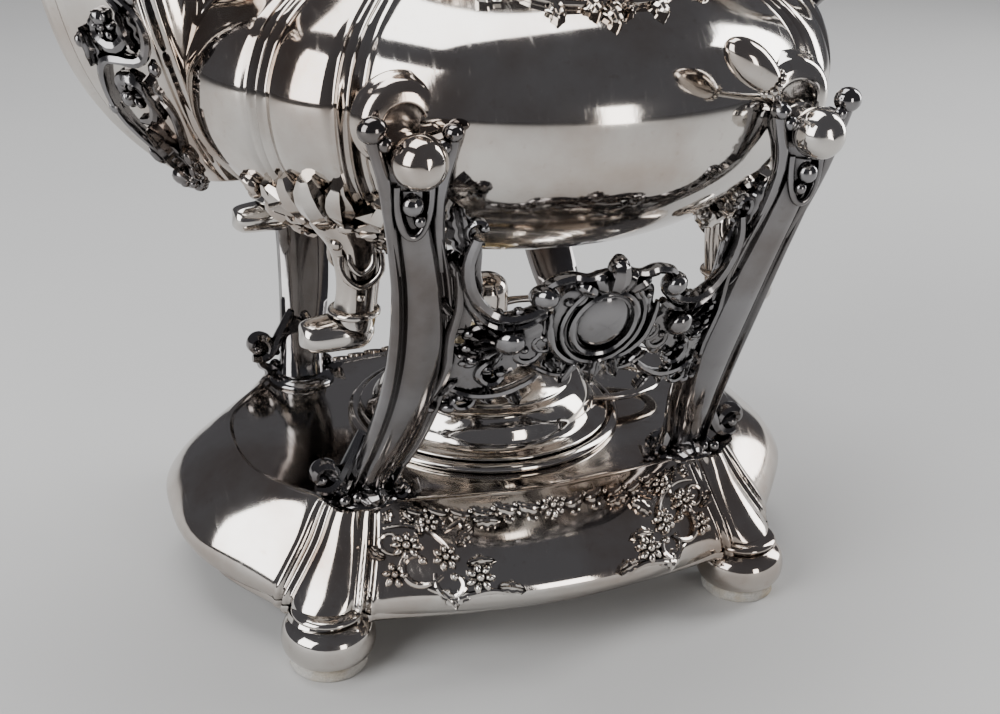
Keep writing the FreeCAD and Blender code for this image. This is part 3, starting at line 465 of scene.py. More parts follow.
def make_studio():
    mesh = bpy.data.meshes.new("floor")
    reach = 4.0
    mesh.from_pydata([(-reach, -reach, 0), (reach, -reach, 0), (reach, reach, 0), (-reach, reach, 0)],
                     [], [(0, 1, 2, 3)])
    floor = bpy.data.objects.new("floor", mesh)
    bpy.context.scene.collection.objects.link(floor)
    made = Nodes("floor")
    tone = made.ramp(made.noise(3.0, 4.0), 0.3, 0.7)
    made.link(made.mix(tone, (0.60, 0.60, 0.60, 1), (0.64, 0.64, 0.63, 1)), made.shader.inputs["Base Color"])
    made.shader.inputs["Roughness"].default_value = 0.8
    mesh.materials.append(made.material)
    world = bpy.data.worlds.new("studio")
    world.use_nodes = True
    world.node_tree.nodes["Background"].inputs["Color"].default_value = (0.10, 0.10, 0.11, 1)
    bpy.context.scene.world = world
    centre = (0, 0, 0.12)
    area_light("left_box", (-0.95, -0.35, 0.55), centre, (0.7, 0.9), 13)
    area_light("right_box", (0.95, 0.1, 0.45), centre, (0.35, 0.9), 9)
    area_light("top_box", (-0.1, 0.25, 1.15), centre, (0.9, 0.6), 10)
    area_light("front_strip", (0.35, -1.1, 0.22), centre, (0.25, 0.5), 3, (1.0, 0.95, 0.9))


# ---------------------------------------------------------------- stand: base and feet

BASE_HIGH = span_of("stand_base")[1]
SIDE_REACH, FRONT_REACH = 86.0, 66.0
BASE_RIM, BASE_TOP = 13.0, BASE_HIGH.z
WELL_RADIUS = 30.2
FOOT = (span_of("bun_foot_front_handle")[0] + span_of("bun_foot_front_handle")[1]) / 2

# Height, side lobe reach, front lobe reach, and the corner ridge's place at that height.
BASE_LEVELS = [
    (BASE_RIM, SIDE_REACH - 6.0, FRONT_REACH - 6.5, 60.0, 52.5),
    (17.0, SIDE_REACH - 1.5, FRONT_REACH - 1.5, 58.5, 51.0),
    (22.0, SIDE_REACH, FRONT_REACH, 55.5, 48.0),
    (29.0, SIDE_REACH - 4.5, FRONT_REACH - 6.5, 52.0, 44.5),
    (34.5, SIDE_REACH - 11.5, FRONT_REACH - 15.0, 50.0, 42.0),
    (BASE_TOP, SIDE_REACH - 16.0, FRONT_REACH - 20.0, 49.0, 41.0),
]
LEVEL_COUNT = len(BASE_LEVELS) - 1
AROUND = 24


def base_point(turn, level):
    """A point on the base: turn runs from 0 at +X to 24, level from 0 at the rim to 5 at the top."""
    height, side, front, corner_x, corner_y = curve_at(BASE_LEVELS, level)
    quarter = [
        (side, 0), (side * 0.962, corner_y * 0.42), (side * 0.48 + corner_x * 0.46, corner_y * 0.80),
        (corner_x, corner_y), (corner_x * 0.76, corner_y * 0.55 + front * 0.42),
        (corner_x * 0.40, front * 0.965), (0, front),
    ]
    half = quarter + [(-x, y) for x, y in reversed(quarter[:-1])]
    outline = half + [(x, -y) for x, y in reversed(half[1:-1])]
    x, y = curve_at(outline, turn % AROUND, True)
    return Vector((x, y, height))


def base_normal(turn, level):
    level = min(max(level, 0.02), LEVEL_COUNT - 0.02)
    along = base_point(turn + 0.02, level) - base_point(turn - 0.02, level)
    rise = base_point(turn, level + 0.02) - base_point(turn, level - 0.02)
    return along.cross(rise).normalized()


CORNER_HALVES = [(9.7,), (9.4,), (8.1,), (6.4,), (5.4,), (5.0,)]


def corner_relief(distance, level):
    """Height of the corner's bell-shaped panel, its two reeds and the grooves beside them."""
    half = curve_at(CORNER_HALVES, min(level, LEVEL_COUNT - 0.001))[0]
    edge = abs(distance) - half
    panel = 2.4 * max(0.0, 1 - (distance / half) ** 2) ** 1.2
    reeds = 1.0 * bump(edge - 0.4, 0.9) + 0.6 * bump(edge - 3.2, 1.0)
    return panel + reeds - 0.8 * bump(edge - 1.8, 0.9) - 0.6 * bump(edge + 1.2, 1.0)


def base_ring(level, inset=0.0, height=None, relief=1.0, columns=960):
    points = [base_point(AROUND * column / columns, level) for column in range(columns)]
    lengths = [0.0]
    for first, second in zip(points, points[1:]):
        lengths.append(lengths[-1] + (second - first).length)
    corners = [lengths[columns * (3 + 6 * index) // AROUND] for index in range(4)]
    ring = []
    for column, point in enumerate(points):
        run = points[(column + 1) % columns] - points[column - 1]
        out = Vector((run.y, -run.x, 0)).normalized()
        nearest = min((lengths[column] - corner for corner in corners), key=abs)
        offset = relief * corner_relief(nearest, level) - inset
        ring.append(Vector((point.x, point.y, point.z if height is None else height)) + out * offset)
    return ring


def make_base():
    wall = 1.6
    rows = 40
    rings = [base_ring(0.0, wall, BASE_RIM + 0.6), base_ring(0.0, 0.8, BASE_RIM - 0.5),
             base_ring(0.0, -0.4, BASE_RIM - 0.3), base_ring(0.0, -1.1, BASE_RIM + 0.8),
             base_ring(0.15, -0.6, BASE_RIM + 2.0)]
    rings += [base_ring(0.3 + (LEVEL_COUNT - 0.3) * row / rows) for row in range(1, rows + 1)]
    rings += [base_ring(LEVEL_COUNT, 0.6, BASE_TOP + 0.35, 0.5),
              base_ring(LEVEL_COUNT, 1.5, BASE_TOP + 0.1, 0.3),
              base_ring(LEVEL_COUNT, 2.2, BASE_TOP - 0.3, 0.1)]
    edge = base_ring(LEVEL_COUNT, 2.6, BASE_TOP - 0.35, 0.0)
    rings += inward(edge, BASE_TOP - 0.35, BASE_TOP - 0.05, (0.0, 0.25, 0.5, 0.75, 1.0))
    below = BASE_TOP - wall
    rings += inward(edge, below, below, (1.0, 0.5, 0.0))
    for row in range(10):
        level = 4.2 * (1 - row / 9)
        rings.append(base_ring(level, wall, min(curve_at(BASE_LEVELS, level)[0], below - 0.4), 0.0))
    base = Mould()
    base.rings(rings, "loop")
    cast("base_pressing", base, "stand", SILVER, ("stand_base",), 50)


def inward(edge, outer_height, inner_height, shares):
    """Rings that run from an outline to the edge of the round well."""
    rings = []
    for share in shares:
        ring = []
        for point in edge:
            flat = Vector((point.x, point.y, 0))
            inner = flat.normalized() * WELL_RADIUS
            place = flat.lerp(inner, share)
            ring.append(Vector((place.x, place.y, outer_height + (inner_height - outer_height) * share)))
        rings.append(ring)
    return rings


FRONT_CENTRE = 18.0


def running_lengths(points):
    """Distances along a row of points from its first."""
    lengths = [0.0]
    for before, after in zip(points, points[1:]):
        lengths.append(lengths[-1] + (after - before).length)
    return lengths


ALONG_STEP, CLIMB_STEP = 0.05, 0.1
BASE_LENGTHS = running_lengths([base_point(FRONT_CENTRE + step * ALONG_STEP, 2.5) for step in range(61)])
BASE_CLIMB = running_lengths([base_point(FRONT_CENTRE, step * CLIMB_STEP) for step in range(51)])


def looked_up(table, value, step):
    """Where a rising table reaches a value, in table steps."""
    for index in range(1, len(table)):
        if value <= table[index]:
            share = (value - table[index - 1]) / (table[index] - table[index - 1])
            return (index - 1 + share) * step
    return (len(table) - 1) * step


def on_base(u, v, w):
    """Lays relief on the front lobe: u along the lobe from its middle, v up from the rim."""
    turn = FRONT_CENTRE + math.copysign(looked_up(BASE_LENGTHS, abs(u), ALONG_STEP), u)
    level = looked_up(BASE_CLIMB, max(v, 0.0), CLIMB_STEP)
    return base_point(turn, level) + base_normal(turn, level) * w


def base_spray(relief, side):
    """Daisies, leaves and C-scrolls at one end of a lobe."""
    at, facing = mirrored(side, 9.0, 0.79)

    relief.scroll(at(37, 11), 6.5, facing(200), side * 300, 1.8)
    relief.scroll(at(28, 6.5), 5.0, facing(20), side * -290, 1.6)
    relief.scroll(at(44, 19), 4.6, facing(250), side * 270, 1.5)
    relief.stroke([at(46, 24), at(40, 25), at(33, 22), at(29, 16), at(31, 10)], 1.5)
    relief.stroke([at(34, 4), at(27, 2.6), at(20, 4.2), at(15, 3.4)], 1.5)
    relief.stroke([at(30, 23), at(25, 27), at(18, 29)], 1.3)
    for u, v, radius, petals in ((40, 17, 4.2, 8), (30, 14, 3.4, 7), (22, 8, 3.6, 7), (42, 7, 3.2, 6),
                                 (34, 26, 3.0, 7)):
        relief.flower(at(u, v), radius, petals, 1.9)
    for u, v, angle, length in ((36, 21, 70, 7.5), (27, 18, 120, 7), (25, 12, 160, 7), (18, 5, 175, 6.5),
                                (45, 12, 20, 6), (31, 3.5, 200, 6), (24, 3.4, 330, 5), (38, 26, 40, 6),
                                (22, 26, 170, 7), (45, 26, 80, 5)):
        relief.leaf(at(u, v), facing(angle), length, 4.2, 1.1, 3, 0.5, side * 15)


def base_garland(relief):
    """A string of small leaves, buds and scrolls along the lobe's upper edge."""
    for side in (-1, 1):
        for index in range(6):
            u = side * (3.5 + 6.2 * index)
            v = 31.5 + 0.4 * math.sin(index * 1.7)
            relief.leaf((u, v), 0 if side > 0 else 180, 6.6, 4.4, 1.2, 2, 0.5, side * 18)
            relief.scroll((u + side * 2.0, v - 1.9), 2.1, 90, side * -230, 0.9)
            relief.ball((u, v + 1.4, 0.7), (0.9, 0.9, 0.9), 8, 6)
    relief.flower((0, 31.5), 3.4, 8, 2.0)


def make_base_relief():
    relief = Mould(on_base)
    for side in (-1, 1):
        base_spray(relief, side)
    base_garland(relief)
    for face_name, face in FACES.items():
        copy = Mould().merged(relief, 1, -face)
        cast("base_flowers_" + face_name, copy, "stand", SILVER)


def make_feet():
    profile = smooth([(3.0, 3.4), (8.8, 3.1), (10.9, 5.0), (11.5, 8.0), (10.7, 11.4), (8.4, 13.4)], 6)
    profile += smooth([(7.6, 13.7), (7.7, 14.2), (8.7, 14.6), (8.9, 15.3), (8.2, 16.0), (7.0, 16.4)], 4)
    for corner, side, face in CORNERS:
        foot = Mould()
        foot.lathe(profile, (side * FOOT.x, -face * FOOT.y, 0), 72)
        cast("turned_foot_" + corner, foot, "stand", SILVER, ("bun_foot_" + corner,))
        pad = Mould()
        ragged = [chance.uniform(-0.28, 0.3) for _ in range(90)]

        def fray(angle, radius, height):
            if radius < 8.0:
                return radius
            lump = ragged[int(angle / TAU * 90 + height * 7) % 90]
            return radius + lump * (0.4 + 0.6 * math.sin(height * 1.9) ** 2)

        levels = [(4.0, 0.0), (8.9, 0.0), (9.3, 0.4)] + [(9.35, 0.4 + 0.28 * row) for row in range(1, 9)]
        pad.lathe(levels + [(9.2, 3.0), (4.0, 3.05)], (side * FOOT.x, -face * FOOT.y, 0), 90, shape=fray)
        cast("felt_disc_" + corner, pad, "stand", FELT, ("felt_pad_" + corner,), 70)


# ---------------------------------------------------------------- stand: legs

STUD_X, STUD_HEIGHT = 43.5, 133.8
FORK_INNER, FORK_THICKNESS = 72.9, 3.4

# A leg's centre line from the base to the fork: x, y, height, half width, half depth.
LEG_PATH = [
    (43.0, 34.0, 35.5, 6.6, 4.6), (42.4, 36.6, 41.0, 6.3, 4.0), (41.5, 40.0, 46.5, 6.2, 3.5),
    (38.8, 47.6, 58.5, 7.2, 3.0), (37.2, 55.8, 73.0, 7.6, 2.8), (37.4, 63.0, 88.0, 7.4, 2.7),
    (39.4, 69.0, 104.0, 6.6, 2.5), (42.6, 73.4, 119.0, 5.8, 2.1), (STUD_X, 74.7, 127.5, 5.6, 1.8),
]


def leg_frame(place):
    """Centre, width direction, outward direction and half sizes of a leg at a place on its path."""
    x, y, height, width, depth = curve_at(LEG_PATH, place)
    before = Vector(curve_at(LEG_PATH, max(place - 0.05, 0.0))[:3])
    after = Vector(curve_at(LEG_PATH, min(place + 0.05, len(LEG_PATH) - 1.001))[:3])
    run = (after - before).normalized()
    across = (Vector((1, 0, 0)) - run * run.x).normalized()
    outward = run.cross(across)
    if outward.y < 0:
        outward = -outward
    return Vector((x, y, height)), across, outward, width, depth


def leg_face(share):
    """Height of the leg's outer face over its width: a convex middle, grooves and two edge reeds."""
    edge = abs(share)
    middle = 1.5 * max(0.0, 1 - (share / 0.62) ** 2)
    return middle + 1.0 * bump(edge - 0.86, 0.12) - 0.8 * bump(edge - 0.66, 0.10)


def leg_shank():
    shank = Mould()
    rings = []
    rows = 84
    for row in range(rows + 1):
        centre, across, outward, width, depth = leg_frame((len(LEG_PATH) - 1.001) * row / rows)
        ring = []
        for step in range(57):
            share = -1 + step / 28
            fall = 1 - abs(share) ** 8
            ring.append(centre + across * (share * width)
                        + outward * (depth * (0.25 + 0.54 * fall) + fall * leg_face(share)))
        for step in range(9):
            share = 1 - step / 4
            ring.append(centre + across * (share * width * 0.93) - outward * (depth * (1 - 0.5 * share ** 4)))
        rings.append(ring)
    shank.rings(rings)
    return shank


def on_leg(place):
    """A place function that lays relief on the leg's outer face, about a place on its path."""
    def lay(u, v, w):
        centre, across, outward, _, depth = leg_frame(min(max(place + v / 14.0, 0.0), len(LEG_PATH) - 1.01))
        return centre + across * u + outward * (depth * 0.95 + w - 0.02 * u * u)
    return lay


def fork_head():
    """The flat head with its cradle, a raised rim that ends in two knobbed horns, and a small scroll."""
    head = Mould()
    near, far = FORK_INNER, FORK_INNER + FORK_THICKNESS
    outline = [(-5.6, -9.5), (5.6, -9.5), (6.2, -6.5), (6.8, -3.2), (7.8, -0.6), (8.4, 1.4), (7.4, 3.3),
               (5.4, 2.8), (3.9, 2.0), (3.3, 0.0), (2.3, -2.3), (0.0, -3.3), (-2.3, -2.3), (-3.3, 0.0),
               (-3.9, 2.0), (-5.4, 2.8), (-7.4, 3.3), (-8.4, 1.4), (-7.8, -0.6), (-6.8, -3.2), (-6.2, -6.5)]
    rings = []
    for y, shrink in ((near, 0.96), (near + 0.4, 1.0), (far - 0.6, 1.0), (far, 0.93)):
        rings.append([(STUD_X + x * (shrink if abs(x) > 4 else 2 - shrink), y, STUD_HEIGHT + z)
                      for x, z in outline])
    head.rings(rings)
    for sign, reach, rise, knob in ((1, 8.3, 5.8, 3.1), (-1, 7.7, 4.4, 2.2)):
        rim = smooth([(STUD_X + lean + sign * x, y, STUD_HEIGHT + z) for lean, x, y, z in
                      ((-3.3, 4.6, 70.4, -26.0), (-1.4, 4.8, 73.8, -17.0), (-0.3, 5.2, 76.0, -10.0),
                       (0, 6.0, 77.2, -4.5), (0, 7.0, 77.4, -0.5), (0, reach - 0.3, 77.4, rise - 2.6),
                       (0, reach, 77.4, rise))], 6)
        head.tube(rim, [1.35 + 0.55 * (index / len(rim)) ** 3 for index in range(len(rim))], 12,
                  hint=(0, 1, 0))
        head.ball((STUD_X + sign * reach, 77.6, STUD_HEIGHT + rise), (knob, 2.6, knob * 0.88), 18, 12)
        head.ball((STUD_X + sign * (reach - 2.2), 78.6, STUD_HEIGHT + rise - 2.6), (1.6, 1.4, 1.6), 12, 8)
    hollow = [(STUD_X + x, 77.6 + 0.3 * z / 9, STUD_HEIGHT + z) for x, z in
              smooth([(-3.6, -5.6), (-3.2, -11.0), (-1.9, -15.0), (0.0, -16.4), (1.9, -15.0), (3.2, -11.0),
                      (3.6, -5.6)], 6)]
    head.tube(hollow, 0.85, 10, hint=(0, 1, 0))
    head.ball((STUD_X + 0.4, 77.9, STUD_HEIGHT - 9.6), (2.3, 1.8, 2.3), 16, 10)
    head.ball((STUD_X - 1.0, 78.2, STUD_HEIGHT - 12.8), (1.3, 1.1, 1.3), 12, 8)
    return head


def leg_foot_leaves():
    """Acanthus leaves on the leg's root and the volutes that curl out to each side of it."""
    leaves = Mould(on_leg(0.5))
    leaves.leaf((0, -6.5), 90, 24, 11.5, 3.0, 4, 1.8)
    for sign in (-1, 1):
        leaves.leaf((sign * 3.0, -7.0), 90 - sign * 20, 17, 6.5, 2.8, 3, 1.5, sign * -14)
        leaves.scroll((sign * 5.2, -1.6), 3.2, 110 if sign > 0 else 70, sign * -330, 1.9, 0.25, 2.6)
    root = Mould(lambda u, v, w: (43.0 + u, 38.4 + w, 40.0 + v))
    root.scroll((11.4, 6.2), 4.2, 250, -330, 3.0, 0.3, 3.4)
    root.stroke([(1.5, 16.0), (4.6, 9.5), (7.4, 4.2), (10.0, 2.2), (13.0, 2.4)], 3.4, 3.2, 0.5)
    root.stroke([(-2.0, 15.0), (-4.8, 8.5), (-6.8, 2.6), (-7.8, -1.2)], 3.2, 3.0, 0.5)
    root.scroll((-7.6, -1.4), 2.6, 80, 300, 1.9, 0.3, 2.4)
    root.leaf((5.6, 3.4), 40, 8.5, 5.0, 2.4, 3, 1.0)
    root.leaf((0.5, 13.5), 268, 12, 8.5, 3.6, 4, 1.4)
    for u, v in ((3.2, -0.6), (6.4, -1.0), (-3.0, -1.4), (0.2, -1.6)):
        root.ball((u, v, 2.4), (1.7, 1.7, 1.6), 12, 8)
    collar = Mould()
    collar.lathe(smooth([(8.4, 0.0), (9.2, 0.9), (8.2, 1.9), (6.8, 2.6)], 4), (43.0, 34.5, 36.4), 48)
    return leaves.merged(root).merged(collar)


def make_legs():
    leg = leg_shank().merged(fork_head())
    leaves = leg_foot_leaves()
    for corner, side, face in CORNERS:
        cast("reeded_leg_" + corner, Mould().merged(leg, side, face), "stand", SILVER_PAINTED_DARK_REFLECTION,
             ("leg_" + corner,), 45)
        cast("leg_leaves_" + corner, Mould().merged(leaves, side, face), "stand", SILVER_PAINTED_DARK_REFLECTION)


# ---------------------------------------------------------------- stand: aprons

leg_place = place_finder(LEG_PATH, 2)


def leg_y(height):
    return curve_at(LEG_PATH, leg_place(height))[1]


def on_apron(u, v, w):
    """Lays relief on the bowed apron: u along X from its middle, v is the height."""
    return Vector((u, leg_y(v) + 9.0 * (1 - (u / 36.0) ** 2) + 1.25 * w - 0.6, v))


def plate(relief, middle, reach, lobes, dent=0.05):
    """A solid ground with a scalloped edge: reach is its half width and half height."""
    rings = []
    for share, rise in ((0.02, 0.9), (0.55, 0.9), (0.92, 0.8), (1.0, 0.3), (1.0, -0.7), (0.93, -1.1),
                        (0.02, -1.1)):
        ring = []
        for step in range(96):
            angle = TAU * step / 96
            bulge = share * (1 + dent * math.cos(lobes * angle))
            ring.append((middle[0] + reach[0] * bulge * math.cos(angle),
                         middle[1] + reach[1] * bulge * math.sin(angle), rise))
        rings.append(ring)
    relief.rings(rings)


def cartouche(relief):
    middle = (0, 93.0)
    plate(relief, (0, 92.6), (13.2, 12.2), 8, 0.07)
    rings = []
    for share, rise in ((0.05, 2.3), (0.35, 2.2), (0.7, 1.7), (0.95, 0.9), (1.0, 0.0), (0.95, -1.0),
                        (0.05, -1.0)):
        rings.append([(middle[0] + 6.3 * share * math.cos(TAU * step / 40),
                       middle[1] + 7.3 * share * math.sin(TAU * step / 40), rise) for step in range(40)])
    relief.rings(rings)
    for radius, width in ((7.4, 2.0), (9.6, 1.7)):
        oval = [(middle[0] + radius * math.cos(TAU * step / 24),
                 middle[1] + radius * 1.12 * math.sin(TAU * step / 24))
                for step in range(25)]
        relief.stroke(oval, width, width, 1.0, steps=2)
    for sign in (-1, 1):
        at, facing = mirrored(sign)
        relief.scroll(at(8.5, 100.5), 4.6, facing(60), sign * 250, 2.0)
        relief.stroke([at(2.0, 107.0), at(6.0, 105.6), at(10.0, 106.3), at(14.0, 104.6), at(15.6, 101.2)],
                      2.6, 2.6)
        relief.ball(at(15.0, 101.5) + (1.2,), (3.0, 3.0, 3.0), 16, 10)
        relief.stroke([at(12.5, 97.0), at(12.0, 92.0), at(10.4, 87.0), at(6.2, 83.2), at(2.0, 82.8)], 2.0,
                      2.2)
        relief.scroll(at(12.8, 89.0), 3.6, facing(200), sign * 280, 1.5)
        relief.scroll(at(7.4, 80.6), 3.2, facing(80), sign * 280, 1.5)
        relief.stroke([at(1.6, 101.6), at(4.4, 106.8)], 4.0, 3.2, 0.3)
        relief.stroke([at(3.6, 101.4), at(8.4, 104.6)], 3.4, 3.0, 0.3)
        relief.leaf(at(4.2, 83.0), 270 + sign * 22, 7.0, 4.0, 1.4, 2, 0.6)
    relief.stroke([(0, 101.0), (0, 105.5), (0, 110.6)], 5.2, 4.4, 0.15)
    relief.leaf((0, 83.5), 270, 7.4, 5.4, 2.0, 3, 0.8)


def apron_side(relief, sign):
    """The swag that rises to the leg, a shell fan, and the C-scrolls below it."""
    at, facing = mirrored(sign)

    plate(relief, at(20.4, 88.4), (8.6, 8.6), 9, 0.07)
    plate(relief, at(27.6, 79.0), (5.6, 9.0), 6, 0.08)
    plate(relief, at(30.8, 102.5), (3.4, 13.5), 7, 0.08)
    for drop, width in ((0.0, 3.2), (3.0, 2.2)):
        relief.stroke([at(13.6, 100.0 - drop), at(17.5, 97.0 - drop), at(22.5, 96.2 - drop),
                       at(27.0, 98.6 - drop),
                       at(30.2, 104.0 - drop), at(31.2, 110.0 - drop),
                       at(30.0, 115.5 - drop)], width, width, 0.7)
    relief.scroll(at(29.6, 117.8), 3.8, facing(250), sign * 290, 1.8, 0.25, 2.4)
    relief.scroll(at(33.0, 109.5), 3.0, facing(90), sign * -260, 1.5)
    relief.leaf(at(31.8, 112.0), facing(75), 12.0, 6.0, 1.6, 4, 1.0)
    relief.leaf(at(30.6, 104.0), facing(60), 8.0, 4.4, 1.4, 3, 0.8)
    for index in range(7):
        angle = -70 + 28 * index
        relief.leaf(at(20.6, 89.4), facing(angle), 7.6, 3.4, 1.8, 2, 0.5)
        tip = math.radians(facing(angle))
        relief.ball((sign * 20.6 + 8.4 * math.cos(tip), 89.4 + 8.4 * math.sin(tip), 0.9), (1.2, 1.2, 1.2),
                    10, 6)
    relief.ball(at(20.2, 89.4) + (1.2,), (3.4, 3.4, 2.6), 16, 10)
    relief.scroll(at(16.2, 85.8), 4.0, facing(140), sign * 300, 1.7)
    relief.scroll(at(21.6, 79.6), 5.0, facing(100), sign * -300, 2.0, 0.25, 2.4)
    relief.stroke([at(12.0, 79.2), at(15.0, 76.4), at(20.0, 73.6), at(26.0, 73.2), at(31.0, 75.4)], 2.2,
                  2.2, 0.5)
    relief.stroke([at(14.0, 82.0), at(9.5, 79.4), at(5.0, 78.6)], 1.6, 1.6)
    relief.scroll(at(28.0, 83.4), 3.6, facing(40), sign * 280, 1.6)
    relief.scroll(at(29.6, 90.4), 3.2, facing(270), sign * 270, 1.5)
    relief.stroke([at(33.2, 72.0), at(31.6, 80.0), at(32.2, 90.0), at(31.6, 99.0), at(33.0, 108.0)], 2.2,
                  2.2, 0.7)
    relief.scroll(at(27.2, 71.0), 3.4, facing(160), sign * 280, 1.7, 0.25, 2.0)
    relief.ball(at(29.6, 68.6) + (0.8,), (1.7, 1.7, 1.7), 12, 8)
    relief.ball(at(33.0, 68.0) + (0.6,), (1.3, 1.3, 1.3), 12, 8)
    for u, v, angle, length in ((24.5, 84.0, 20, 7), (25.0, 94.0, 60, 6), (23.0, 76.0, 250, 6),
                                (17.0, 74.5, 240, 5),
                                (29.0, 78.0, 300, 6), (32.0, 96.0, 50, 6), (11.5, 84.0, 230, 5)):
        relief.leaf(at(u, v), facing(angle), length, 3.8, 1.4, 2, 0.6)


def make_aprons():
    relief = Mould(on_apron)
    cartouche(relief)
    for sign in (-1, 1):
        apron_side(relief, sign)
    for face_name, face in FACES.items():
        cast("pierced_apron_" + face_name, Mould().merged(relief, 1, face), "stand", SILVER_PAINTED_DARK_REFLECTION,
             ("apron_" + face_name,))


# ---------------------------------------------------------------- burner

def make_burner():
    seat_top = span_of("burner_seat")[1].z - 0.4
    seat = Mould()
    seat.lathe([(28.7, seat_top - 9.0), (29.9, seat_top - 9.0), (29.9, 37.05)]
               + smooth([(36.6, 37.05), (37.0, 37.6), (36.7, 38.5), (35.6, 39.2), (34.6, 38.9),
                         (34.4, seat_top - 0.1)], 5)
               + [(30.0, seat_top - 0.15), (28.7, seat_top - 0.5)], (0, 0, 0), 160, "loop")
    cast("lamp_seat_ring", seat, "stand", SILVER, ("burner_seat",), 40)
    font = Mould()
    outside = [(0.05, 19.0), (25.0, 19.0)] + smooth([(26.6, 19.2), (27.8, 20.2), (28.0, 22.0),
                                                     (28.0, 38.7)], 4)
    outside += smooth([(33.6, 38.9), (34.0, 39.3), (33.5, 39.8), (31.6, 40.3), (30.4, 41.0), (29.6, 42.0)], 5)
    outside += smooth([(29.3, 42.6), (28.4, 45.0), (26.2, 47.8), (24.6, 48.6), (23.8, 48.9), (23.2, 49.6),
                       (20.6, 51.2), (16.0, 53.0), (12.4, 53.8), (10.2, 54.4), (9.4, 55.0), (7.1, 55.0)], 6)
    outside += [(7.1, 53.9), (12.0, 52.6), (22.0, 47.6), (26.6, 41.0), (26.8, 22.0), (24.0, 20.4),
                (0.05, 20.4)]
    font.lathe(outside, (0, 0, 0), 160)
    cast("spirit_font", font, "lamp", SILVER, ("lamp_font",), 40)
    collar = Mould()
    profile = [(4.02, 51.9), (6.85, 51.9), (6.85, 54.9)]
    profile += smooth([(9.4, 55.1), (9.6, 56.0), (9.3, 57.2), (8.0, 57.6), (7.4, 58.3), (5.6, 59.0),
                       (4.02, 59.0)], 4)

    def milled(angle, radius, height):
        return radius - 0.16 * (0.5 + 0.5 * math.cos(48 * angle)) if radius > 9.1 else radius

    collar.lathe(profile, (0, 0, 0), 192, "loop", milled)
    cast("milled_collar", collar, "lamp", BRASS, ("lamp_collar",), 40)
    wick = Mould()

    def strands(angle, radius, height):
        twist = math.cos(6 * angle + height * 1.9) * math.cos(6 * angle - height * 1.9)
        return radius - 0.14 + 0.14 * twist if radius > 2.0 else radius

    top = span_of("wick")[1].z
    levels = [(2.98, 46.4 + 0.3 * row) for row in range(int((top - 1.4 - 46.4) / 0.3))]
    wick.lathe([(0.05, 46.4)] + levels + [(2.4, top - 0.7), (1.2, top - 0.05), (0.05, top)], (0, 0, 0), 60,
               shape=strands)
    cast("braided_wick", wick, "lamp", COTTON, ("wick",), 80)
    make_lamp_fittings()


def make_lamp_fittings():
    """Lifting loop and the hinged snuffer that closes the wick tube."""
    loop = Mould()
    outline = [(34.5 + 16.2 * math.cos(math.radians(angle)), 10.3 * math.sin(math.radians(angle)), 40.9)
               for angle in range(-112, 113, 7)]
    loop.tube(outline, [2.0 - 0.5 * abs(math.sin(math.pi * index / (len(outline) - 1)) - 0.5)
                        for index in range(len(outline))], 14, 0.42)
    cast("lifting_loop", loop, "lamp", SILVER, ("lamp_handle",))
    skirt = span_of("snuffer_cap")[0].z
    crown = span_of("snuffer_cap")[1].z
    cap = Mould()
    profile = [(5.1, skirt), (5.9, skirt), (6.0, skirt + 0.5), (5.8, skirt + 1.0), (5.8, crown - 5.4)]
    profile += smooth([(5.75, crown - 4.6), (5.0, crown - 2.3), (3.2, crown - 0.8), (1.2, crown - 0.15),
                       (0.05, crown)], 5)
    profile += [(0.05, crown - 0.9), (3.0, crown - 1.7), (4.7, crown - 3.2), (5.1, crown - 5.4)]
    cap.lathe(profile, (0, 0, 0), 72, "loop")
    cast("domed_snuffer", cap, "snuffer", SILVER, ("snuffer_cap",), 40)
    pivot = span_of("snuffer_pin")[0].lerp(span_of("snuffer_pin")[1], 0.5)
    arm = Mould()
    path = smooth([(5.3, 0, pivot.z), (8.5, 0, pivot.z + 0.2), (12.0, 0, pivot.z + 0.1),
                   (15.6, 0, pivot.z)], 5)
    arm.tube(path, [1.25 - 0.25 * math.sin(math.pi * index / 15) for index in range(len(path))])
    rings = []
    for y, radius in ((-1.5, 1.7), (-1.2, 2.05), (1.2, 2.05), (1.5, 1.7)):
        rings.append([(pivot.x + radius * math.cos(TAU * step / 28), y,
                       pivot.z + radius * math.sin(TAU * step / 28))
                      for step in range(28)])
    arm.rings(rings)
    cast("snuffer_swing_arm", arm, "snuffer", SILVER, ("snuffer_arm",))


# ---------------------------------------------------------------- pot: body

# Height, radius and depth of the scallops between the ribs.
POT_LEVELS = [
    (98.5, 36.0, 0.2), (102.2, 51.0, 0.5), (108.0, 62.5, 1.2), (116.0, 72.6, 1.9), (126.0, 80.0, 2.4),
    (138.0, 83.0, 3.0), (147.0, 80.5, 2.9), (153.0, 75.9, 2.6), (158.0, 68.6, 2.4), (163.0, 59.2, 2.0),
    (169.0, 50.0, 1.4), (177.0, 43.0, 0.9), (187.0, 38.6, 0.5), (198.0, 36.6, 0.3), (211.0, 37.5, 0.2),
]
RIB_ANGLES = (41.0, 57.0, 78.0)
BEARINGS = sorted((middle + sign * angle) % 360 for middle in (90,
                                                               270) for angle in RIB_ANGLES for sign in (-1,
                                                                                                         1))


def rib_gap(bearing):
    """Angle from a bearing to the nearest rib, in radians."""
    return math.radians(min(abs((bearing - rib + 180) % 360 - 180) for rib in BEARINGS))


def rib_relief(distance):
    """Two reeds side by side, with a groove between them and one on each side."""
    edge = abs(distance)
    return 1.15 * bump(edge - 1.3, 0.7) - 0.6 * bump(edge - 3.2, 1.0)


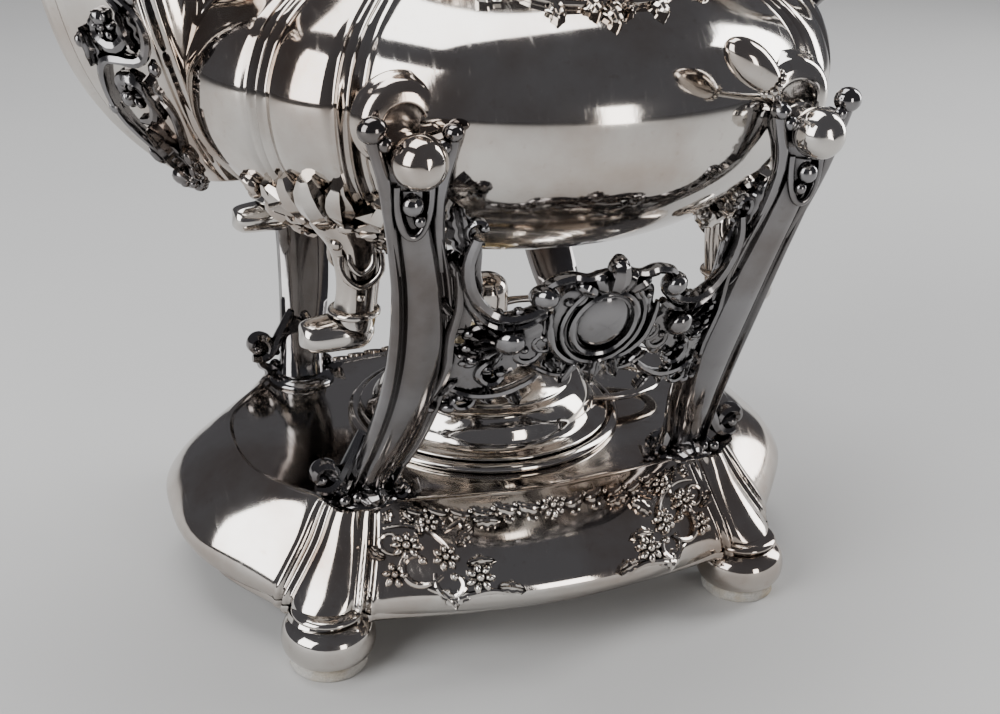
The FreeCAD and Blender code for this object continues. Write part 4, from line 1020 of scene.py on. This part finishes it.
def pot_reach(bearing, place):
    """Radius of the pot's skin at a bearing in degrees and a place on its levels."""
    _, radius, scallop = curve_at(POT_LEVELS, place)
    bearing %= 360
    for index, rib in enumerate(BEARINGS):
        spread = (BEARINGS[(index + 1) % len(BEARINGS)] - rib) % 360
        ahead = (bearing - rib) % 360
        if ahead <= spread:
            break
    crest = radius - scallop * 0.5 * max(0.0, 1 - spread / 60)
    share = 2 * ahead / spread - 1
    reach = radius - scallop + (crest - radius + scallop) * (1 - share * share)
    nearest = min(ahead, spread - ahead)
    fade = min(1.0, place * 0.9, (len(POT_LEVELS) - 1 - place) * 0.5)
    return reach + fade * rib_relief(math.radians(nearest) * radius)


def pot_point(bearing, place, out=0.0):
    reach = pot_reach(bearing, place) + out
    turn = math.radians(bearing)
    return Vector((reach * math.cos(turn), reach * math.sin(turn), curve_at(POT_LEVELS, place)[0]))


def skin_lengths():
    """The pot's levels with the distance along its skin from the bottom edge as a last column."""
    climbed = 0.0
    rows = [POT_LEVELS[0] + (climbed,)]
    for before, after in zip(POT_LEVELS, POT_LEVELS[1:]):
        climbed += math.dist(before[:2], after[:2])
        rows.append(after + (climbed,))
    return rows


pot_place = place_finder(skin_lengths(), 3)


def on_pot(middle):
    """Lays relief on the pot: u around it from a bearing, v up its skin from the bottom edge."""
    def lay(u, v, w):
        place = pot_place(v)
        bearing = middle + math.degrees(u / curve_at(POT_LEVELS, place)[1])
        here = pot_point(bearing, place)
        around = pot_point(bearing + 0.5, place) - pot_point(bearing - 0.5, place)
        rise = pot_point(bearing, place + 0.02) - pot_point(bearing, max(place - 0.02, 0.0))
        return here + around.cross(rise).normalized() * w
    return lay


def make_pot_body():
    columns = 900
    rows = 100
    top = len(POT_LEVELS) - 1.0001
    rings = []
    for row in range(rows + 1):
        place = top * row / rows
        rings.append([pot_point(360 * column / columns, place) for column in range(columns)])
    for row in range(24):
        place = top * (1 - row / 23)
        height, radius, scallop = curve_at(POT_LEVELS, place)
        inner = radius - scallop * 0.75 - 1.4
        height = min(max(height, 99.9), 210.9)
        rings.append([(inner * math.cos(TAU * column / columns), inner * math.sin(TAU * column / columns),
                       height)
                      for column in range(columns)])
    body = Mould()
    body.rings(rings, "loop")
    cast("lobed_body", body, "pot", SILVER, ("pot_body",), 60)


def shoulder_spray(relief):
    """Rococo scrolls and flowers on the upper part of a lobe."""
    for sign in (-1, 1):
        at, facing = mirrored(sign, -69)

        relief.stroke([at(1, 164), at(7, 162.5), at(14, 164), at(20, 169), at(22, 176)], 2.0, 1.8)
        relief.scroll(at(17, 175), 6.0, facing(-60), sign * 300, 2.2, 0.25, 1.9)
        relief.scroll(at(29, 171), 5.2, facing(200), sign * -300, 1.9, 0.25, 1.6)
        relief.stroke([at(20, 183), at(28, 181), at(36, 184), at(42, 190)], 1.8, 1.6)
        relief.scroll(at(35, 190), 4.6, facing(-50), sign * 300, 1.7)
        relief.scroll(at(9, 187), 6.5, facing(240), sign * 310, 2.1, 0.25, 1.8)
        relief.stroke([at(2, 200), at(10, 197), at(17, 192), at(26, 191)], 1.7, 1.5)
        for u, v, radius in ((8, 171, 4.8), (25, 177, 4.2), (17, 187, 4.4), (38, 177, 3.6), (28, 194, 3.6)):
            relief.flower(at(u, v), radius, 8, 2.0)
        for u, v, angle, length in ((12, 165, 250, 7), (21, 168, 300, 8), (33, 172, 330, 8), (42, 183, 10, 8),
                                    (30, 186, 60, 8), (12, 180, 120, 8), (22, 197, 40, 8), (4, 176, 95, 8),
                                    (38, 194, 30, 7), (5, 165, 235, 6)):
            relief.leaf(at(u, v), facing(angle), length, 5.0, 1.4, 3, 0.6, sign * 18)
    relief.leaf((0, 94), 270, 7, 5.0, 1.6, 3, 0.6)
    relief.flower((0, 108), 5.6, 9, 2.4)
    relief.leaf((0, 113), 90, 12, 7.0, 1.6, 4, 0.8)


def make_pot_relief():
    for face_name, middle in (("front", 270), ("back", 90)):
        relief = Mould(on_pot(middle))
        shoulder_spray(relief)
        cast("shoulder_flowers_" + face_name, relief, "pot", SILVER)


def make_neck():
    low, high = span_of("neck")
    outside = smooth([(39.0, low.z), (39.8, low.z + 1.2), (38.9, low.z + 2.6), (37.2, low.z + 3.4)], 5)
    outside += smooth([(36.6, low.z + 4.2), (34.9, low.z + 10.0), (34.9, low.z + 15.5), (37.2, low.z + 22.4),
                       (39.2, high.z - 3.4)], 6)
    outside += smooth([(40.9, high.z - 2.6), (41.5, high.z - 1.2), (41.4, high.z)], 4)
    inside = [(38.3, high.z)] + smooth([(37.3, high.z - 3.6), (33.4, low.z + 15.0), (33.4, low.z + 10.0),
                                        (35.8, low.z + 3.0), (35.9, low.z)], 5)

    def fluted(angle, radius, height):
        if low.z + 4.0 < height < high.z - 3.2 and radius > 34.5:
            return radius + 0.7 * rib_relief(rib_gap(math.degrees(angle)) * 42.0)
        return radius

    neck = Mould()
    neck.lathe(outside + inside, (0, 0, 0), 480, "loop", fluted)
    cast("waisted_neck", neck, "pot", SILVER, ("neck",), 45)
    beading = Mould()
    for step in range(84):
        angle = TAU * step / 84
        beading.ball((39.8 * math.cos(angle), 39.8 * math.sin(angle), low.z + 1.5), (1.35, 1.35, 1.35), 10, 6)
    cast("neck_beading", beading, "pot", SILVER)


# ---------------------------------------------------------------- pot: spout

# Height, keel (outer edge), heel (inner edge) and half width of the spout.
SPOUT_REACH = -span_of("spout")[0].x
SPOUT_LEVELS = [
    (109.0, -76.0, -60.0, 5.0), (116.0, -84.8, -60.0, 12.0), (127.0, -95.0, -60.0, 17.5),
    (140.0, -102.0, -62.0, 20.0), (156.0, -106.4, -66.0, 20.0), (174.0, -109.6, -68.0, 17.5),
    (192.0, -114.2, -76.0, 14.0), (208.0, -121.6, -92.0, 11.0), (223.0, -132.6, -108.5, 9.4),
    (236.0, 0.4 - SPOUT_REACH, -121.0, 9.4),
]
SPOUT_TURNS = 8
spout_level = place_finder(SPOUT_LEVELS, 0)


def spout_point(turn, level, inset=0.0):
    """A point on the spout: turn is 0 at the keel, 4 at the heel and back to 8."""
    height, keel, heel, width = curve_at(SPOUT_LEVELS, level)
    keel, heel, width = keel + inset, heel - inset, width - inset
    length = heel - keel
    side = [(keel + 0.16 * length, 0.48 * width), (keel + 0.45 * length, 0.94 * width),
            (keel + 0.80 * length, 0.86 * width)]
    outline = [(keel, 0)] + side + [(heel, 0)] + [(x, -y) for x, y in reversed(side)]
    x, y = curve_at(outline, turn % SPOUT_TURNS, True)
    return Vector((x, y, height))


def spout_edge(turn):
    """Reeds beside the spout's keel, and the one that frames its panels from behind."""
    from_keel = min(turn, SPOUT_TURNS - turn)
    keel = 1.2 * bump(from_keel - 0.46, 0.09) + 0.6 * bump(from_keel - 0.68,
                                                           0.05) - 0.7 * bump(from_keel - 0.26, 0.09)
    return keel + 1.1 * bump(from_keel - 2.3, 0.07) - 0.6 * bump(from_keel - 2.15, 0.06)


def on_spout(sign):
    def lay(u, v, w):
        level = spout_level(v)
        turn = 0.74 + u / 18.0
        turn = turn if sign < 0 else SPOUT_TURNS - turn
        here = spout_point(turn, level)
        around = spout_point(turn + 0.03, level) - spout_point(turn - 0.03, level)
        rise = spout_point(turn, level + 0.02) - spout_point(turn, max(level - 0.02, 0.0))
        out = rise.cross(around).normalized()
        if out.y * here.y < 0:
            out = -out
        return here + out * w
    return lay


def make_spout():
    columns = 384
    rows = 90
    top = len(SPOUT_LEVELS) - 1.0001
    rings = []
    for row in range(rows + 1):
        level = top * row / rows
        ring = []
        for column in range(columns):
            turn = SPOUT_TURNS * column / columns
            fade = min(1.0, level * 0.8, (top - level) * 0.8)
            out = spout_point(turn, level) - spout_point(turn, level, 1.0)
            ring.append(spout_point(turn, level) + out * (fade * spout_edge(turn)))
        rings.append(ring)
    rings.append([spout_point(SPOUT_TURNS * column / columns, top, 0.7) + Vector((0, 0, 0.3))
                  for column in range(columns)])
    for row in range(40):
        level = top - (top - 0.6) * row / 39
        rings.append([spout_point(SPOUT_TURNS * column / columns, level, 1.5) for column in range(columns)])
    spout = Mould()
    spout.rings(rings)
    cast("beaked_spout", spout, "pot", SILVER, ("spout",), 50)
    relief = Mould()
    for sign in (-1, 1):
        panel = Mould(on_spout(sign))
        spout_panel(panel)
        relief.merged(panel)
    for step in range(3):
        relief.ball((-76.5 + 1.6 * step, 0, 110.0 - 1.4 * step),
                    (3.4 - 0.7 * step, 3.2 - 0.6 * step, 2.6 - 0.5 * step))
    for step in range(7):
        angle = TAU * step / 7
        relief.ball((-74.6 + 2.6 * math.cos(angle), 2.8 * math.sin(angle), 108.4), (1.3, 1.3, 1.2), 10, 6)
    cast("spout_scrollwork", relief, "pot", SILVER_PAINTED_DARK_REFLECTION)


def spout_panel(panel):
    """A chain of C-scrolls with leaves and beads, framed by the spout's reeds."""
    for v, start, sweep in ((134, 250, 330), (149, 70, -330), (164, 250, 330), (179, 70, -330),
                            (193, 250, 310)):
        panel.scroll((13, v), 7.4, start, sweep, 3.2, 0.22, 2.6)
        panel.flower((13, v), 3.6, 6, 2.4)
        panel.leaf((5, v + 6), 60, 9, 5.5, 2.4, 3, 1.2, 15)
        panel.leaf((20, v - 5), 110, 9, 5.5, 2.4, 3, 1.2, -15)
        panel.ball((22.5, v + 6, 0.8), (1.7, 1.7, 1.6), 10, 7)
        panel.ball((3.5, v - 4, 0.8), (1.7, 1.7, 1.6), 10, 7)
    panel.stroke([(10, 114), (5, 122), (4, 131), (9, 141), (20, 142), (23, 149), (18, 156), (6, 157),
                  (3, 165)], 2.6, 2.4)
    panel.stroke([(14, 117), (20, 122), (22, 130), (17, 137)], 2.4, 2.2)
    panel.stroke([(6, 171), (18, 172), (22, 180), (17, 187), (8, 188), (5, 198)], 2.4, 2.0)
    panel.leaf((12, 112), 84, 15, 9.0, 2.8, 4, 1.2)
    panel.leaf((12, 200), 90, 15, 8.0, 2.2, 4, 0.9)
    for u, v in ((8, 112.5), (16, 114), (4, 118), (19, 118)):
        panel.ball((u, v, 0.9), (2.2, 2.2, 1.8), 12, 8)


# ---------------------------------------------------------------- pot: feet, bosses, studs and catches

# The foot at the handle side of the back: x, y, height, half size along X and along Y.
POT_FOOT_PATH = [
    (56.0, 46.0, 124.0, 6.5, 4.6), (51.0, 44.4, 115.0, 7.6, 6.0), (46.8, 42.8, 107.0, 6.6, 5.9),
    (45.8, 42.2, 99.0, 5.3, 5.3), (46.1, 42.0, 92.0, 4.9, 5.0), (47.0, 42.0, 86.5, 5.3, 5.2),
    (47.8, 42.0, 83.0, 5.0, 5.0),
]
TOE_PATH = [
    (42.9, 42.0, 83.0, 1.6, 2.2), (43.8, 42.0, 83.3, 3.2, 3.9), (46.0, 42.0, 83.6, 4.1, 4.9),
    (50.0, 42.0, 83.8, 4.3, 5.3), (54.4, 42.0, 83.5, 4.1, 5.1), (57.4, 42.0, 83.3, 3.7, 4.4),
    (58.8, 42.0, 83.1, 2.7, 3.2), (59.1, 42.0, 83.1, 1.2, 1.4),
]


def swept(mould, stations, columns, steps, relief=None, floor=None):
    """Ovals along a path in which each station is x, y, height, half width, half depth."""
    path = smooth(stations, steps)
    rings = []
    for index, station in enumerate(path):
        ahead = Vector(path[min(index + 1, len(path) - 1)][:3]) - Vector(path[max(index - 1, 0)][:3])
        outward = Vector((0, 1, 0))
        if abs(ahead.normalized().x) < 0.8:
            outward = Vector((1, 0, 0)).cross(ahead).normalized()
        across = ahead.cross(outward).normalized()
        ring = []
        for column in range(columns):
            angle = TAU * column / columns
            extra = relief(angle, index / (len(path) - 1)) if relief else 0.0
            point = Vector(station[:3]) + across * ((station[3] + extra) * math.cos(angle))
            point += outward * ((station[4] + extra) * math.sin(angle))
            if floor is not None:
                point.z = max(point.z, floor)
            ring.append(point)
        rings.append(ring)
    mould.rings(rings)


def shell_ribs(angle, share):
    """Shallow ribs down a foot, strongest in the middle of its length."""
    return 0.35 * math.sin(math.pi * share) * math.cos(6 * angle) - 0.3


def make_pot_feet():
    sole = span_of("pot_foot_back_handle")[0].z
    shank = Mould()
    swept(shank, POT_FOOT_PATH, 36, 6, shell_ribs, sole)
    swept(shank, TOE_PATH, 32, 5, None, sole)
    shank.lathe(smooth([(5.2, 0.0), (6.0, 0.6), (5.9, 1.5), (5.0, 2.0)], 3), (46.8, 42.0, 87.6), 40)
    for rise, half, drop in ((103.4, 4.6, 7.4), (104.2, 2.7, 5.0)):
        for depth in (5.4, -5.4):
            arch = smooth([(46.3 - half, 42.2 + depth * 0.86, rise),
                           (46.3 - half * 0.9, 42.2 + depth, rise - 0.6 * drop),
                           (46.3, 42.0 + depth * 1.02, rise - drop),
                           (46.3 + half * 0.9, 42.2 + depth, rise - 0.6 * drop),
                           (46.3 + half, 42.2 + depth * 0.86, rise)], 5)
            shank.tube(arch, 0.75, 10)
    for x, z, radius in ((41.6, 105.6, 1.6), (51.6, 106.4, 1.6), (46.4, 93.2, 1.0)):
        shank.ball((x, 46.6, z), (radius, radius, radius))
        shank.ball((x, 37.6, z), (radius, radius, radius))
    leaves = Mould(on_pot(41.0))
    for sign in (-1, 1):
        for turn, length, width in ((80, 25, 6.6), (58, 24, 6.4), (36, 21, 6.0), (12, 16, 5.6)):
            ahead = Vector((sign * math.cos(math.radians(turn)), math.sin(math.radians(turn))))
            root = Vector((sign * 2.5, 25.0))
            middle, tip = root + ahead * (0.55 * length), root + ahead * length
            leaves.stroke([tuple(root), tuple(middle)], 0.85 * width, 3.8, 0.45)
            leaves.stroke([tuple(root.lerp(middle, 0.8)), tuple(tip)], width, 4.8, 0.25)
            leaves.ball((middle.x, middle.y, 3.6), (1.5, 1.5, 1.5), 10, 7)
        leaves.scroll((sign * 17, 30), 4.8, 90 - sign * 30, sign * 300, 3.0, 0.25, 4.2)
        leaves.scroll((sign * 21.5, 41), 3.6, 90 - sign * 30, sign * 300, 2.4, 0.25, 3.2)
    leaves.stroke([(0, 21), (0, 36)], 6.4, 4.8, 0.45)
    leaves.stroke([(0, 34), (0, 51)], 7.8, 5.6, 0.25)
    for corner, side, face in CORNERS:
        cast("boot_foot_" + corner, Mould().merged(shank, side, face), "pot", SILVER, ("pot_foot_" + corner,))
        cast("knee_acanthus_" + corner, Mould().merged(leaves, side, face), "pot", SILVER)


def turned_along_y(mould, profile, centre, segments=48):
    """Turns (radius, distance) pairs about an axis parallel to Y, outwards at the back."""
    rings = []
    for radius, distance in profile:
        rings.append([(centre[0] + radius * math.cos(TAU * step / segments), centre[1] + distance,
                       centre[2] + radius * math.sin(TAU * step / segments)) for step in range(segments)])
    mould.rings(rings)


def make_studs():
    """Ball-ended studs on the body, each behind a smooth dome."""
    low, high = span_of("stud_back_handle")
    axis = low.lerp(high, 0.5)
    stud = Mould()
    profile = [(3.2, -16.0), (3.2, -9.4), (3.2, -4.9)]
    profile += smooth([(3.45, -4.5), (4.9, -2.9), (5.58, 0.0), (4.7, 3.0), (2.8, 4.85), (0.05, 5.58)], 6)
    turned_along_y(stud, profile, (axis.x, high.y - 5.6, axis.z))
    low, high = span_of("boss_back_handle")
    boss = Mould()
    profile = smooth([(9.0, -6.4), (9.9, -5.2), (9.6, -4.2), (9.2, -3.4), (8.4, -1.6), (6.8, -0.4),
                      (4.6, 0.0)], 5)
    turned_along_y(boss, profile + [(4.3, -0.1), (4.1, -0.6), (3.26, -0.7)],
                   (axis.x, high.y, 0.5 * (low.z + high.z)), 64)
    for corner, side, face in CORNERS:
        cast("ball_stud_" + corner, Mould().merged(stud, side, face), "pot", SILVER, ("stud_" + corner,))
        cast("domed_boss_" + corner, Mould().merged(boss, side, face), "pot", SILVER, ("boss_" + corner,))


def make_catches():
    """Swinging catches: a collar on the stud, a bent stem, a beaded ring and an egg-shaped knob."""
    low, high = span_of("catch_knob_back")
    knob_middle = low.lerp(high, 0.5)
    hub = Vector((43.5, 72.15, 133.8))
    out = Vector((knob_middle.x - hub.x, 0, knob_middle.z - hub.z)).normalized()
    lever = Mould()
    turned_along_y(lever, [(3.3, 0.0), (4.4, 0.0), (4.6, 0.15), (4.6, 0.4), (4.4, 0.55), (3.3, 0.55)], hub)
    bends = [hub + out * 4.0 + Vector((0, 0.5, 0)), hub + out * 9.0 + Vector((0, 2.4, 0)),
             hub + out * 14.0 + Vector((0, 8.4, 0)), hub + out * 19.0 + Vector((0, 12.7, 0))]
    path = smooth([tuple(point) for point in bends], 6)
    lever.tube(path, 0.98, 12, 1.0, (0, 1, 0.2))
    knob = Mould()
    ahead = Vector((out.x, 0.0, out.z))
    across = Vector((0, 1, 0))
    rings = []
    for distance, radius in smooth([(-8.0, 1.4), (-7.2, 2.3), (-5.6, 3.1), (-2.8, 3.75), (0.6, 3.9),
                                    (3.9, 3.1),
                                    (6.0, 1.7), (6.8, 0.3)], 4):
        rings.append(hoop(knob_middle + ahead * distance, across, ahead.cross(across), radius, 40))
    knob.rings(rings)
    for place in hoop(knob_middle - ahead * 7.3, across, ahead.cross(across), 2.6, 12):
        knob.ball(place, (0.85, 0.85, 0.85), 8, 6)
    for name, face in FACES.items():
        cast("swing_lever_" + name, Mould().merged(lever, 1, face), "catch_" + name, SILVER,
             ("catch_lever_" + name,))
        cast("egg_knob_" + name, Mould().merged(knob, 1, face), "catch_" + name, SILVER,
             ("catch_knob_" + name,))


# ---------------------------------------------------------------- pot: handle

def in_plane(stations, steps):
    """Stations of x, height and radius in the plane y = 0 as points and radii."""
    path = smooth(stations, steps)
    return [(x, 0.0, z) for x, z, _ in path], [radius for _, _, radius in path]


def make_handle():
    reach = span_of("handle_grip")[1].x
    stations = [
        (96.4, 156.2, 5.4), (108.5, 161.0, 6.0), (123.0, 169.0, 6.6), (135.6, 182.0, 7.0),
        (reach - 7.0, 198.5, 6.9), (136.6, 214.0, 6.6), (124.0, 224.4, 6.2), (108.6, 227.6, 5.8),
        (95.0, 223.4, 5.4),
    ]
    points, radii = in_plane(stations, 8)
    grip = Mould()
    grip.tube(points, radii, 40, 1.0, (0, 1, 0))
    cast("looped_grip", grip, "pot", SILVER, ("handle_grip",))
    thumb = Mould()
    crown = in_plane([(133.6, 217.4, 0), (126.0, 224.6, 0), (117.0, 229.6, 0), (110.0, 232.8, 0)], 6)[0]
    last = len(crown) - 1
    swell = [2.2 + 1.5 * math.sin(math.pi * index / last) for index in range(last + 1)]
    thumb.tube(crown, swell, 16, 0.6, (0, 1, 0))
    for sign in (-1, 1):
        for start, length in ((4, 7.0), (9, 6.0), (14, 4.6)):
            base = Vector(crown[start])
            side = [base, base + Vector((-0.30 * length, sign * 0.55 * length, -0.1 * length)),
                    base + Vector((-0.8 * length, sign * 0.72 * length, -0.35 * length))]
            thumb.tube(smooth([tuple(point) for point in side], 4),
                       [1.6, 1.7, 1.7, 1.6, 1.4, 1.2, 1.0, 0.7, 0.4], 10, 0.6)
    thumb.ball((109.4, 0, 233.0), (2.3, 2.4, 1.9))
    cast("grip_leaf", thumb, "pot", SILVER)
    make_sockets(points)


def make_sockets(grip):
    lower_end, upper_end = Vector(grip[0]), Vector(grip[-1])
    ends = (
        ("lower", lower_end, lower_end - Vector(grip[1]),
         [(86.4, 151.2, 7.0), (78.5, 146.8, 9.0), (69.5, 142.0, 11.0)]),
        ("upper", upper_end, upper_end - Vector(grip[-2]),
         [(77.0, 215.6, 6.4), (62.0, 207.0, 6.8), (48.0, 199.0, 7.6), (34.0, 193.4, 8.4)]),
    )
    for name, start, inwards, stations in ends:
        inwards.normalize()
        washer = Mould()
        across = Vector((0, 1, 0))
        other = inwards.cross(across)
        rings = []
        for distance, radius in smooth([(0.0, 5.9), (0.3, 6.35), (1.5, 6.4), (2.7, 6.35), (3.0, 5.9)], 3):
            rings.append(hoop(start + inwards * distance, across, other, radius, 48))
        washer.rings(rings)
        cast("resin_washer_" + name, washer, "pot", RESIN, ("insulator_" + name,), 50)
        first = start + inwards * 3.0
        points, radii = in_plane([(first.x, first.z, 5.9)] + stations, 8)
        socket = Mould()
        socket.tube(points, radii, 40, 1.0, (0, 1, 0))
        for distance, radius in ((0.9, 6.3), (2.5, 6.2), (8.0, 7.0)):
            centre = first + inwards * distance
            band = [centre + (across * math.cos(TAU * step / 48) + other * math.sin(TAU * step / 48)) * radius
                    for step in range(49)]
            socket.tube([tuple(point) for point in band], 0.75, 8, 1.0, tuple(inwards))
        cast("handle_ferrule_" + name, socket, "pot", SILVER, ("handle_socket_" + name,))
        tabs = Mould()
        for step in range(7):
            angle = TAU * (step + 0.5) / 7
            radial = across * math.cos(angle) + other * math.sin(angle)
            line = [first + inwards * distance + radial * (reach_out + 6.0)
                    for distance, reach_out in ((3.0, 0.5), (7.0, 1.3), (11.0, 3.1), (14.5, 5.2))]
            tabs.tube(smooth([tuple(point) for point in line], 4),
                      [1.5, 1.8, 2.1, 2.3, 2.3, 2.2, 2.0, 1.8, 1.6, 1.3, 1.0, 0.7, 0.5], 10, 0.7,
                      tuple(radial))
        cast("ferrule_leaves_" + name, tabs, "pot", SILVER_PAINTED_DARK_REFLECTION)


# ---------------------------------------------------------------- lid

def make_lid():
    low, high = span_of("lid")
    flange = high.x
    crown = high.z
    seat = crown - 25.7
    profile = [(flange - 6.7, low.z), (flange - 5.4, low.z), (flange - 5.4, seat)]
    profile += smooth([(flange - 0.4, seat), (flange, seat + 0.7), (flange - 0.4, seat + 1.4)], 3)
    profile += smooth([(flange - 1.6, seat + 2.2), (flange - 3.2, seat + 3.1), (flange - 5.0, seat + 3.4)], 4)
    profile += smooth([(flange - 5.6, seat + 4.0), (32.0, seat + 9.0), (26.0, crown - 9.2),
                       (18.0, crown - 4.0),
                       (11.0, crown - 1.2), (6.0, crown - 0.1), (3.3, crown)], 7)
    inner = [(3.3, crown - 1.3), (6.0, crown - 1.4), (11.0, crown - 2.5), (18.0, crown - 5.4),
             (24.6, crown - 10.6),
             (30.6, seat + 8.0), (flange - 6.8, seat + 2.4)]

    def lobed(angle, radius, height):
        if 9.0 < radius < flange - 5.2 and height > seat + 3.3:
            strength = bump((radius - 24.0) / 12.0, 1.0)
            return radius + strength * (1.1 * rib_relief(rib_gap(math.degrees(angle)) * 38.0) - 0.1)
        return radius

    lid = Mould()
    lid.lathe(profile + inner, (0, 0, 0), 480, "loop", lobed)
    cast("domed_lid", lid, "lid", SILVER, ("lid",), 45)
    finial_low, finial_high = span_of("lid_finial")
    tip = finial_high.z
    finial = Mould()
    profile = [(0.05, finial_low.z), (2.4, finial_low.z), (2.5, crown - 0.4)]
    profile += smooth([(6.6, crown + 0.1), (7.0, crown + 0.7), (6.2, crown + 1.4), (4.2, crown + 3.4),
                       (3.3, crown + 5.6), (3.3, crown + 8.0)], 5)
    profile += smooth([(5.4, crown + 8.7), (5.7, crown + 9.5), (4.9, crown + 10.4), (3.2, crown + 11.2)], 4)
    profile += smooth([(3.3, crown + 11.8), (6.4, crown + 14.4), (9.3, crown + 19.0), (9.5, crown + 23.0),
                       (7.2, crown + 28.2), (4.0, crown + 32.0), (2.3, tip - 3.2), (1.9, tip - 1.4),
                       (0.9, tip - 0.2),
                       (0.05, tip)], 6)

    def petalled(angle, radius, height):
        share = (height - crown - 11.5) / 22.0
        if 0 < share < 1:
            return radius - 0.5 * math.sin(math.pi * share) * (0.5 + 0.5 * math.cos(8 * angle)) ** 2
        return radius

    finial.lathe(profile, (0, 0, 0), 96, "cap", petalled)
    cast("bud_finial", finial, "lid", SILVER, ("lid_finial",), 45)
    make_lid_relief(crown, seat)


def make_lid_relief(crown, seat):
    """A collar of leaves around the finial."""
    def on_lid(u, v, w):
        turn = math.radians(u)
        reach = 37.0 - v
        height = curve_at([(37.0, seat + 3.4), (32.0, seat + 9.0), (26.0, crown - 9.2), (18.0, crown - 4.0),
                           (11.0, crown - 1.2), (6.0, crown - 0.1)],
                          0.0 if reach >= 37.0 else sum(min(max((outer - reach) / (outer - inner), 0.0), 1.0)
                          for outer, inner in ((37, 32), (32, 26), (26, 18), (18, 11), (11, 6))))[1]
        slope = 0.5 + 0.5 * (reach / 37.0)
        return Vector(((reach + w * slope) * math.cos(turn), (reach + w * slope) * math.sin(turn),
                       height + w * 0.8))

    leaves = Mould(on_lid)
    for step in range(12):
        middle = 30 * step
        rings = []
        for row in range(15):
            share = row / 14
            outline = math.sin(math.pi * min(0.06 + 0.9 * share, 0.98)) ** 0.7
            half = 12.0 * outline * (1 - 0.2 * abs(math.cos(math.pi * 4 * share)))
            ring = [(middle + half * across, 27.5 - 13.0 * share, 1.5 * (1 - 0.7 * across * across)
                     + 0.25 * abs(math.cos(math.pi * 2 * across)) + 0.5 * share) for across in
                    (-1, -0.75, -0.5, -0.25, 0, 0.25, 0.5, 0.75, 1)]
            ring += [(middle + half * across, 27.5 - 13.0 * share, -0.4) for across in (0.7, 0, -0.7)]
            rings.append(ring)
        leaves.rings(rings)
    cast("lid_leaf_collar", leaves, "lid", SILVER)


# ---------------------------------------------------------------- everything

finish_cad_nodes()
make_camera()
make_studio()
make_base()
make_base_relief()
make_feet()
make_legs()
make_aprons()
make_burner()
make_pot_body()
make_pot_relief()
make_neck()
make_spout()
make_pot_feet()
make_studs()
make_catches()
make_handle()
make_lid()
